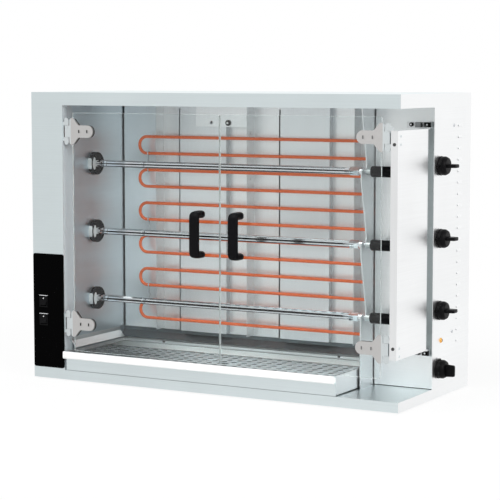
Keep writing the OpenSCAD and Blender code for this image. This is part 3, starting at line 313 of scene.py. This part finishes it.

# ------------------------------------------------------------------ heating elements
# Tubes of heat-resistant alloy bent into hairpins and oxidised, their orange-red glow painted into
# their colour and a faint emission. Their ends are insulated with fired clay.


def heated_skin():
    """Painted glow of a hot tube: brighter and duller patches along it, on a thin oxide with fine specks."""
    group, given, result = effect(
        "heated_skin", [("Place", "Vector", None), ("Cold", "Color", (0.5, 0.12, 0.05, 1)),
                        ("Hot", "Color", (0.9, 0.3, 0.12, 1)), ("Roughness", "Float", 0.45)],
        [("Colour", "Color"), ("Roughness", "Float"), ("Normal", "Vector")])
    slow = add(group, "TexNoise", None, [("Vector", given.outputs["Place"])], Scale=9.0, Detail=2.0)
    fine = add(group, "TexNoise", None, [("Vector", given.outputs["Place"])], Scale=700.0, Detail=3.0)
    mixed = add(group, "Mix")
    mixed.data_type = "RGBA"
    group.links.new(slow.outputs["Fac"], mixed.inputs["Factor"])
    group.links.new(given.outputs["Cold"], mixed.inputs[COLOUR_A])
    group.links.new(given.outputs["Hot"], mixed.inputs[COLOUR_B])
    rough = add(group, "Math", "MULTIPLY_ADD",
                [(0, fine.outputs["Fac"]), (2, given.outputs["Roughness"])], _1=0.12)
    relief = add(group, "Bump", None, [("Height", fine.outputs["Fac"])], Strength=0.2, Distance=0.0002)
    group.links.new(mixed.outputs[COLOUR_OUT], result.inputs["Colour"])
    group.links.new(rough.outputs[0], result.inputs["Roughness"])
    group.links.new(relief.outputs[0], result.inputs["Normal"])
    return group


HEATED = heated_skin()
# painted glow: orange base colours and a faint emission, though the tube is no lamp
glowing = finish_with(
    "glowing_tube", HEATED,
    {"Cold": (0.52, 0.085, 0.025, 1), "Hot": (0.70, 0.15, 0.045, 1), "Roughness": 0.42},
    Metallic=0.4, Specular_IOR_Level=0.25, Emission_Color=(0.9, 0.20, 0.07, 1), Emission_Strength=0.2)
dress(glowing, "element_lower", "element_middle", "element_upper")


def moulded_surface():
    """Skin of a moulded or fired piece: pebble relief of the mould and faint blotches in the colour."""
    group, given, result = effect(
        "moulded_surface",
        [("Place", "Vector", None), ("Tint", "Color", (0.02, 0.02, 0.02, 1)),
         ("Roughness", "Float", 0.4), ("Pebble", "Float", 1500.0), ("Depth", "Float", 0.12)],
        [("Colour", "Color"), ("Roughness", "Float"), ("Normal", "Vector")])
    pebble = add(group, "TexNoise", None,
                 [("Vector", given.outputs["Place"]), ("Scale", given.outputs["Pebble"])], Detail=2.0)
    blotch = add(group, "TexNoise", None, [("Vector", given.outputs["Place"])], Scale=40.0, Detail=4.0)
    dim = add(group, "Math", "MULTIPLY_ADD", [(0, blotch.outputs["Fac"])], _1=0.5, _2=0.75)
    shade = add(group, "VectorMath", "SCALE", [(0, given.outputs["Tint"]), ("Scale", dim.outputs[0])])
    centred = add(group, "Math", "SUBTRACT", [(0, blotch.outputs["Fac"])], _1=0.5)
    rough = add(group, "Math", "MULTIPLY_ADD",
                [(0, centred.outputs[0]), (2, given.outputs["Roughness"])], _1=0.25)
    relief = add(group, "Bump", None,
                 [("Height", pebble.outputs["Fac"]), ("Strength", given.outputs["Depth"])], Distance=0.0003)
    group.links.new(shade.outputs[0], result.inputs["Colour"])
    group.links.new(rough.outputs[0], result.inputs["Roughness"])
    group.links.new(relief.outputs[0], result.inputs["Normal"])
    return group


MOULDED = moulded_surface()


def moulded(name, tint, roughness, pebble, depth, **shader):
    """Plastic, rubber, clay or painted glass with the moulded surface. Pebble is the scale of its relief."""
    values = {"Tint": (*tint, 1), "Roughness": roughness, "Pebble": pebble, "Depth": depth}
    return finish_with(name, MOULDED, values, **shader)


fired_clay = moulded("fired_insulator", (0.80, 0.77, 0.70), 0.25, 900, 0.06, Coat_Weight=0.4)
dress(fired_clay, "element_terminals", "terminal_block")

# ------------------------------------------------------------------ spits
# Angle-section rods of bright chromed steel with a square block, a collar, a knurled neck of
# plated steel and a black heat-proof grip. At the left they sit in sockets on black flanges.
# Each row is a spit's place, its body and the height of its axis.
SPITS = (("lower", "spit_low", 209), ("middle", "spit_mid", 397), ("upper", "spit_top", 585))


def mesh_piece(name, points, faces, body, material, smooth=True):
    """A new piece from arrays of points in the row frame and of faces, on that body and finish."""
    mesh = bpy.data.meshes.new(name)
    mesh.from_pydata(np.asarray(points).reshape(-1, 3).tolist(), [], [list(f) for f in faces])
    mesh.polygons.foreach_set("use_smooth", np.full(len(mesh.polygons), smooth))
    mesh.update()
    piece = bpy.data.objects.new(name, mesh)
    scene.collection.objects.link(piece)
    mesh.materials.append(material)
    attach(piece, body)
    return piece


def ring_faces(rings, around):
    """Quads between rings of points that close round, as index rows into the flat list."""
    i, j = np.meshgrid(np.arange(rings - 1), np.arange(around), indexing="ij")
    k = (j + 1) % around
    corners = [i * around + j, i * around + k, (i + 1) * around + k, (i + 1) * around + j]
    return np.stack(corners, -1).reshape(-1, 4)


def capped(rings, around):
    """Quads between the rings, and one face over each end."""
    last = (rings - 1) * around
    ends = [list(range(around))[::-1], list(range(last, last + around))]
    return ring_faces(rings, around).tolist() + ends


def turned(profile, centre, axis="x", around=48):
    """Surface of revolution: each profile row is (distance along the axis, radius) in millimetres from
    centre, point = centre + along * axis + radius * (cos t, sin t) in the plane across it. The ends are
    closed by a face. Faces point outwards for a profile that runs along the axis."""
    profile = np.asarray(profile, float) / 1000
    t = np.linspace(0, 2 * np.pi, around, endpoint=False)
    along = np.repeat(profile[:, :1], around, 1)
    a, b = profile[:, 1:] * np.cos(t), profile[:, 1:] * np.sin(t)
    order = {"x": (along, a, b), "y": (b, along, a)}[axis]
    return (np.stack(order, -1) + np.asarray(centre)).reshape(-1, 3), capped(len(profile), around)


chrome = sheet_steel("bright_chrome", (0.88, 0.89, 0.91), 0.12, (30, 30, 900), 0.03, 0.08)
hub_steel = sheet_steel("turned_steel", (0.66, 0.67, 0.69), 0.24, (1500, 40, 40), 0.1, 0.1,
                        Specular_IOR_Level=0.03)
# the rods have a painted shade line along each leg of their angle, and the flanges are black above
# and below a bright band of painted reflection, which goes on as a wedge over their dish
inlay(hub_steel, (0.006, 0.006, 0.008), (122.1, 0, 0), (20, None, None), 0.0)
for place, _, height in SPITS:
    inlay(chrome, (0.02, 0.02, 0.02), (510, 152, height), (396, None, 1.8))
    inlay(chrome, (0.10, 0.10, 0.11), (510, 152, height - 6.9), (396, None, 1.6))
    inlay(hub_steel, (0.62, 0.64, 0.65), (107, 122, height), (7.4, 22, 15), 0.0)
    inlay(hub_steel, (0.70, 0.72, 0.73), (112, 134, height), (3.3, 10, 17), 0.0)
    inlay(hub_steel, (0.58, 0.60, 0.61), (112, 151, height), (3.3, 9, 8.5), 0.0)
    dress(chrome, "spit_rod_" + place, "drive_socket_" + place)
dress(hub_steel, "spindle_bearings")

grip_black = moulded("grip_black", (0.004, 0.004, 0.005), 0.42, 1600, 0.12, Specular_IOR_Level=0.07)
# the neck is plated steel
inlay(grip_black, (0.62, 0.66, 0.66), (945.5, 0, 0), (7.8, None, None), 1.0)
KNURL_RINGS = 13
knurl = [(1 + 1.1 * i, 8.3 + 0.7 * (i % 2)) for i in range(KNURL_RINGS)]
GRIP = [(0, 6.5), (0.4, 8)] + knurl + [
    (15.4, 8.9), (15.8, 12.6), (16.3, 13.4), (17.4, 13.9), (19, 14), (98, 14), (103.4, 13.7), (106.2, 12.7),
    (107.6, 11), (108, 9)]
for place, body, height in SPITS:
    points, faces = turned(GRIP, at(938, 152, height))
    grip = mesh_piece("spit_grip_" + place, points, faces, body, grip_black)
    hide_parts("spit_handle_" + place)

# ------------------------------------------------------------------ doors
# Two panes of 5 mm toughened glass with ground edges, bow handles of black plastic screwed
# through them, and cast hinges with a round tongue and black clamp plates behind the glass.
pane = bpy.data.materials.new("toughened_glass")
pane.use_nodes = True
tree = pane.node_tree
skin = tree.nodes["Principled BSDF"]
skin.inputs["Base Color"].default_value = (0.95, 0.98, 0.975, 1)
skin.inputs["Transmission Weight"].default_value = 1.0
# below that of real glass, so that the panes mirror less of the white room
skin.inputs["IOR"].default_value = 1.33
spot = add(tree, "TexCoord")
smear = add(tree, "TexNoise", None, [("Vector", spot.outputs["Object"])], Scale=3.0)
spread = add(tree, "MapRange", None, [("Value", smear.outputs["Fac"])], To_Min=0.0, To_Max=0.015)
tree.links.new(spread.outputs["Result"], skin.inputs["Roughness"])
# lamps shine through the pane as through air
ray = add(tree, "LightPath")
open_way = add(tree, "BsdfTransparent", None, Color=(0.92, 0.94, 0.94, 1))
through = add(tree, "MixShader", None,
              [("Fac", ray.outputs["Is Shadow Ray"]), (1, skin.outputs[0]), (2, open_way.outputs[0])])
tree.links.new(through.outputs[0], tree.nodes["Material Output"].inputs["Surface"])
dress(pane, "left_glass", "right_glass")

ground = moulded("ground_glass_edge", (0.74, 0.80, 0.80), 0.45, 900, 0.1, Alpha=0.6)


def rounded(low, high, corner, steps=6):
    """Outline of a rounded rectangle in width and height: quarter circles about its four inset corners."""
    t = np.linspace(0, np.pi / 2, steps)
    turn = (np.arange(4)[:, None] * np.pi / 2 + t).ravel()
    side = np.repeat([[1, 1], [-1, 1], [-1, -1], [1, -1]], steps, 0)
    arcs = corner * np.stack([np.cos(turn), np.sin(turn)], -1)
    return (high + low) / 2 + side * ((high - low) / 2 - corner) + arcs


# a thin band round each pane: it stands out of the edge and goes into it by these millimetres,
# and its corners and its distance to both faces are in metres
PROUD, DEEP = 0.15, 0.4
PANE_CORNER, FACE_GAP = 0.004, 2e-4
for side in ("left", "right"):
    low, high = (np.array(corner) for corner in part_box(side + "_glass"))
    front, rear = low[1] + FACE_GAP, high[1] - FACE_GAP
    rings = []
    for grow, y in ((PROUD, front), (PROUD, rear), (-DEEP, rear), (-DEEP, front)):
        flat = rounded(low[[0, 2]] - grow / 1000, high[[0, 2]] + grow / 1000, PANE_CORNER + grow / 1000)
        rings.append(np.stack([flat[:, 0], np.full(len(flat), y), flat[:, 1]], -1))
    around = len(rings[0])
    faces = ring_faces(len(rings) + 1, around)[:, ::-1] % (len(rings) * around)
    mesh_piece(side + "_pane_edge", np.concatenate(rings), faces, side + "_door", ground,
               smooth=False)

PIN_STEEL = (0.74, 0.79, 0.80)
bracket_steel = sheet_steel("hinge_bracket_steel", PIN_STEEL, 0.42, (300, 300, 300))
dress(bracket_steel, "left_hinge_brackets")
guard_hinge_steel = sheet_steel("guard_hinge_steel", PIN_STEEL, 0.42, (300, 300, 300))
inlay(guard_hinge_steel, (0.10, 0.10, 0.10), (0, -2.1, 0), (None, 2, None))
dress(guard_hinge_steel, "right_hinge_brackets")
# the cast leaves have a bright pin, black clamp plates behind the glass and dark screw slots
for side, pin, screws, slot in (("left", 114, (155, 181), 0.03), ("right", 1065, (1024, 998), 0.24)):
    leaf = sheet_steel("cast_hinge_leaf_" + side, (0.65, 0.64, 0.63), 0.44, (300, 300, 300), 0.3, 0.3)
    inlay(leaf, PIN_STEEL, (pin, 0, 0), (14, None, None))
    inlay(leaf, (0.01, 0.01, 0.01), (0, 29.1, 0), (None, 20, None))
    for x in screws:
        inlay(leaf, (slot, slot, slot), (x, -0.5, 0), (2.1, 1.9, None))
    dress(leaf, side + "_hinge_leaves")


def bow(middle, width, rows, around=40):
    """Bow handle along rows of (depth, height, thickness). Three times, each stretch between two rows gets
    points at its quarters in place of its ends, which rounds the elbows. An oval ring, with the signed
    0.75th powers of cosine and sine, is set across the path's direction in the plane of depth and height."""
    rows = np.asarray(rows, float)
    for _ in range(3):
        quarters = np.stack([0.75 * rows[:-1] + 0.25 * rows[1:], 0.25 * rows[:-1] + 0.75 * rows[1:]], 1)
        rows = np.concatenate([rows[:1], quarters.reshape(-1, 3)[1:-1], rows[-1:]])
    y, z, size = rows.T
    d = np.gradient(rows[:, :2], axis=0)
    d /= np.linalg.norm(d, axis=1, keepdims=True)
    t = np.linspace(0, 2 * np.pi, around, endpoint=False)
    c, s = (np.sign(f) * np.abs(f) ** 0.75 for f in (np.cos(t), np.sin(t)))
    x = np.repeat((width / 2 * c)[None], len(y), 0)
    yy = y[:, None] + d[:, 1:] * size[:, None] / 2 * s
    zz = z[:, None] - d[:, :1] * size[:, None] / 2 * s
    return (np.stack([x, yy, zz], -1) / 1000 + middle).reshape(-1, 3), capped(len(y), around)


BOW = [(4, 52, 20), (-14, 52, 20), (-27.4, 51, 17), (-28, 33, 15), (-28, 0, 15), (-28, -34, 15),
       (-27.4, -51, 16.5), (-17, -53, 18), (4, -53, 18)]
for side, x, body in (("left", 532, "left_door"), ("right", 647, "right_door")):
    points, faces = bow(at(x, 0, 418), 28, BOW)
    handle = mesh_piece(side + "_bow", points, faces, body, grip_black)
    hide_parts(side + "_handle")
    for end, z in (("top", 471), ("foot", 365)):
        points, faces = turned([(0, 7), (2.6, 7), (3.6, 6.2), (4, 4.5)], at(x, 9, z), "y", 32)
        mesh_piece(side + "_nut_" + end, points, faces, body, grip_black)

# ------------------------------------------------------------------ side guard
# Folded satin sheet over the handle recess, on two pivots at the rear edge. The pivots' steel
# flanges carry a grey block and black bolts with light tips.
LIGHT_STEEL = (0.80, 0.81, 0.82)
dress(satin_deep, "side_guard")
bracket_plate = sheet_steel("bracket_steel", LIGHT_STEEL, 0.34, (400, 400, 400))
inlay(bracket_plate, (0.01, 0.01, 0.01), (0, 105.8, 0), (None, 100, None))
inlay(bracket_plate, (0.27, 0.28, 0.285), (1059.5, 105.8, 0), (8.6, 100, None))
inlay(bracket_plate, LIGHT_STEEL, (0, 0, 412.5), (None, None, 285.2))
for z in (704.5, 120.5):
    inlay(bracket_plate, LIGHT_STEEL, (1038, 190, z), (3.5, 10.8, 3.5))
    inlay(bracket_plate, LIGHT_STEEL, (1084, 186, z), (3.5, 10.8, 3.5))
dress(bracket_plate, "guard_brackets")

# ------------------------------------------------------------------ controls
# Black back-painted glass with two rockers in the column, an amber pilot lamp, and the
# knobs of the three regulators and of the main switch on the right side.
panel_glass = moulded("black_panel_glass", (0.0006, 0.0006, 0.0007), 0.1, 60, 0.0, Specular_IOR_Level=0.02)
dress(panel_glass, "control_panel")

# each rocker's frame has a painted highlight along its top edge, and each rocker a light dot near the top
PLASTIC_BLACK, ROCKERS = (0.004, 0.004, 0.0045), (212, 162)
switch_black = moulded("switch_black", PLASTIC_BLACK, 0.34, 1800, 0.1, Specular_IOR_Level=0.08)
rocker_black = moulded("rocker_black", PLASTIC_BLACK, 0.34, 1800, 0.1, Specular_IOR_Level=0.08)
for z in ROCKERS:
    inlay(switch_black, (0.62, 0.63, 0.64), (35, -4, z + 16), (16, 3, 1.1))
    inlay(rocker_black, (0.7, 0.7, 0.7), (35.5, 0, z + 8), (1.6, None, 1.6))
dress(switch_black, "rocker_housings")
dress(rocker_black, "rocker_motor", "rocker_lamp")

amber = moulded("amber_lens", (0.85, 0.42, 0.06), 0.18, 500, 0.05, Coat_Weight=0.5)
inlay(amber, (0.02, 0.012, 0.01), (1104, 262, 147), (None, 2.4, 4.2))
dress(amber, "pilot_lamp")

KNOB = [(1.6, 16), (1.6, 24), (2.2, 24.8), (3.6, 25), (4.8, 24.6), (5.4, 23.6), (6, 23.5), (6.8, 24.1),
        (15, 24.1), (16.4, 23.7), (22.2, 20.6), (23, 19.4), (23.2, 17)]
knob_black = moulded("knob_black", PLASTIC_BLACK, 0.36, 1600, 0.12, Specular_IOR_Level=0.07)
knob_black_highlight = moulded("knob_black_painted_highlight", PLASTIC_BLACK, 0.36, 1600, 0.12, Specular_IOR_Level=0.07)
# the main knob has a light grey patch near its pointer's tip, a painted highlight where a face catches the
# light
inlay(knob_black_highlight, (0.34, 0.34, 0.35), (1105, 246, 104), (None, 6, 3))


def bar_grip(middle, length, thick, x0, x1, upright, around=40):
    """Straight bar of a knob: rings from x0 to x1 of a rounded oblong, |y / a| ** 5 + |z / b| ** 5 = 1, that
    narrows a little to the front, where two smaller rings round its edge. Upright swaps length and
    thickness."""
    x = np.array([x0, x0 + 4, x1 - 3, x1 - 0.8, x1])
    scale = np.array([1.0, 1.0, 0.93, 0.88, 0.76])
    t = np.linspace(0, 2 * np.pi, around, endpoint=False)
    c, s = (np.sign(f) * np.abs(f) ** 0.4 for f in (np.cos(t), np.sin(t)))
    long, short = scale[:, None] * c * length / 2, (scale[:, None] ** 0.7) * s * thick / 2
    y, z = (-short, long) if upright else (long, short)
    points = np.stack([np.repeat(x[:, None], around, 1), y, z], -1) / 1000 + middle
    return points.reshape(-1, 3), capped(len(x), around)


def joined(parts):
    """One list of points and one of faces from several parts, each part's face numbers raised past those
    before."""
    first = np.cumsum([0] + [len(points) for points, _ in parts])
    faces = [[i + start for i in face] for (_, part), start in zip(parts, first) for face in part]
    return np.concatenate([points for points, _ in parts]), faces


for place, height, upright in (("upper", 599, False), ("middle", 413, False), ("lower", 227, False),
                               ("main", 75, True)):
    centre = at(1100, 246, height)
    toward = np.array([0, 0, 1e-3]) if upright else np.array([0, -1e-3, 0])
    skirt = turned(KNOB, centre, "x", 64)
    bar = bar_grip(centre - 3 * toward, 32, 10, 20, 46, upright)
    pointer = bar_grip(centre + 22.5 * toward, 11, 5, 1.6, 8, upright)
    shaft = turned([(-15, 3), (3, 3)], centre, "x", 24)
    points, faces = joined([skirt, bar, pointer, shaft])
    knob = mesh_piece("knob_cap_" + place, points, faces, "control_" + place,
                      knob_black_highlight if upright else knob_black)
    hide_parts("knob_" + place)

# ------------------------------------------------------------------ drip drawer
# Folded satin tray with a rolled lip to pull it by, which has a painted highlight, and painted shade
# on its bottom under the plate. A loose plate with punched round holes and a slot for a finger lies in it.
front_steel = sheet_steel("satin_steel_drawer", (0.78, 0.86, 0.875), 0.34, (4, 900, 900))
# painted highlight: a near-white band along the rolled lip, facing the top lamp
inlay(front_steel, (0.95, 0.95, 0.95), (0, -10, 68), (None, 10.2, 10.4), 0.0)
dress(front_steel, "drawer_front")
tray_steel = sheet_steel("satin_steel_tray", (0.90, 0.92, 0.93), 0.42, (4, 900, 900))
# painted shade: the bottom under the plate is near black, so the holes show dark
inlay(tray_steel, (0.010, 0.009, 0.008), (517, 145, 28), (408, 141, 36), 0.0)
# two dark tabs on the rear rim
for x in (242, 795):
    inlay(tray_steel, (0.02, 0.02, 0.02), (x, 289, 78), (4.2, 4, 4.5))
dress(tray_steel, "drip_drawer")

# behind its holes the plate has painted shade in a crease and at its rear edge, and between them a
# bare strip lightened with painted light; its left end is darkened with painted shade
CREASE_SHADE = (0.06, 0.06, 0.065)
plate_steel = sheet_steel("perforated_steel", (0.58, 0.67, 0.70), 0.5, (4, 600, 600), 0.2, Metallic=0.4)
inlay(plate_steel, (0.90, 1.0, 1.0), (0, 245, 0), (None, 46, None), 0.0)
inlay(plate_steel, CREASE_SHADE, (0, 202.5, 0), (None, 3.5, None))
inlay(plate_steel, CREASE_SHADE, (0, 288, 0), (None, 4.5, None))
tree = plate_steel.node_tree
skin = tree.nodes["Principled BSDF"]
spot = tree.nodes["Texture Coordinate"]
# painted shade: the plate's colour dims towards its left end
corner = add(tree, "VectorMath", "DOT_PRODUCT", [(0, spot.outputs["Object"])], _1=(1, 1, 0))
shade = add(tree, "MapRange", None, [("Value", corner.outputs["Value"])],
            From_Min=-0.45, From_Max=-0.18, To_Min=0.16, To_Max=1.0)
dimmed = add(tree, "VectorMath", "SCALE",
             [(0, skin.inputs["Base Color"].links[0].from_socket), ("Scale", shade.outputs["Result"])])
tree.links.new(dimmed.outputs[0], skin.inputs["Base Color"])

# the slot takes the place of two holes, this one and the next to the right
SLOT_CELL = (15, 3)
SLOT_LEFT, SLOT_RIGHT, SLOT_MIDDLE, SLOT_RADIUS = 548.5, 566.5, 76.8, 9


def perforated(lines_x, lines_y, hole, low, high):
    """Plate in cells between the lines. Every cell but the outermost has a round hole, of 16 points joined to
    as many on the cell's edge, at (cos t, sin t) / max(|cos t|, |sin t|). The slot's points lie its radius
    away from the nearest point of its middle line, towards the points on its two cells' edge."""
    t = np.arange(16) * np.pi / 8
    ring = np.stack([np.cos(t), np.sin(t)], -1)
    square = ring / np.abs(ring).max(1, keepdims=True)
    spans = [((line[1:] + line[:-1]) / 2, (line[1:] - line[:-1]) / 2) for line in (lines_x, lines_y)]
    centre, half = (np.stack(np.meshgrid(spans[0][k], spans[1][k], indexing="ij"), -1)[:, :, None]
                    for k in (0, 1))
    edge, rim = centre + half * square, centre + hole * ring
    holed = np.zeros(edge.shape[:2], bool)
    holed[1:-1, 1:-1] = True
    plain = ~holed
    i, j = SLOT_CELL
    holed[i:i + 2, j] = False
    # round the left cell from its upper to its lower right corner, and back round the right cell
    slot_edge = np.concatenate([edge[i, j, 2:15], edge[i + 1, j, 11:], edge[i + 1, j, :6]])
    nearest = np.clip(slot_edge[:, 0], SLOT_LEFT, SLOT_RIGHT)
    spine = np.stack([nearest, np.full(len(slot_edge), SLOT_MIDDLE)], -1)
    out = slot_edge - spine
    slot = spine + SLOT_RADIUS * out / np.linalg.norm(out, axis=1, keepdims=True)
    quads = [np.stack([a, np.roll(a, -1, -2), np.roll(b, -1, -2), b], -2).reshape(-1, 2)
             for a, b in ((edge[holed], rim[holed]), (slot_edge, slot))]
    corners = np.concatenate(quads + [edge[plain].reshape(-1, 2)]).round(4)
    points, index = np.unique(corners, axis=0, return_inverse=True)
    count, cut = len(points), sum(map(len, quads))
    faces = [index.ravel()[:cut].reshape(-1, 4), index.ravel()[cut:].reshape(-1, 16)]
    # each side that only one face has gets a wall down to the underside
    sides = np.concatenate([np.stack([f, np.roll(f, -1, 1)], -1).reshape(-1, 2) for f in faces])
    a, b = sides[~np.isin(sides @ [count, 1], sides @ [1, count])].T
    walls = np.stack([a, a + count, b + count, b], -1)
    layers = [np.column_stack([points, np.full(count, z)]) for z in (high, low)]
    lids = [f.tolist() + (f[:, ::-1] + count).tolist() for f in faces]
    return np.concatenate(layers), sum(lids, walls.tolist())


HOLE_RADIUS = 8.5
plate_low, plate_high = ((np.array(corner) - CASING_CORNER) * 1000 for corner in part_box("perforated_plate"))
lines_x = np.r_[plate_low[0], 112.5:923:30, plate_high[0]]
lines_y = np.r_[plate_low[1], 2.5:203:28.5, plate_high[1]]
points, faces = perforated(lines_x, lines_y, HOLE_RADIUS, plate_low[2], plate_high[2])
plate = mesh_piece("drip_plate", points / 1000 + CASING_CORNER, faces, "drawer", plate_steel,
                   smooth=False)
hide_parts("perforated_plate")

# ------------------------------------------------------------------ lamp, drive and fixings
# Oven lamp, a black ring with a painted highlight on its lens in the middle, plated drive parts in
# the column, screws, feet and gland.
lamp_black = moulded("lamp_black", (0.015, 0.015, 0.016), 0.3, 900, 0.05)
lamp_low, lamp_high = (np.array(corner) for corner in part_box("oven_lamp"))
lens = ((lamp_low + lamp_high) / 2 - CASING_CORNER) * 1000
# painted highlight: a light disc on the lamp's lens
inlay(lamp_black, (0.9, 0.9, 0.88), lens, (3, None, 3))
dress(lamp_black, "oven_lamp")
zinc = sheet_steel("zinc_plate", (0.62, 0.64, 0.66), 0.36, (400, 400, 400), 0.12, 0.16)
motor_grey = moulded("motor_paint", (0.10, 0.11, 0.12), 0.42, 700, 0.15)
rubber = moulded("black_rubber", (0.02, 0.02, 0.02), 0.75, 1200, 0.25)
dress(zinc, "drawer_runners", "drive_chain", "motor_sprocket", "casing_screws")
dress(motor_grey, "gear_motor")
dress(rubber, "rubber_feet")
dress(grip_black, "cable_gland", "regulators")
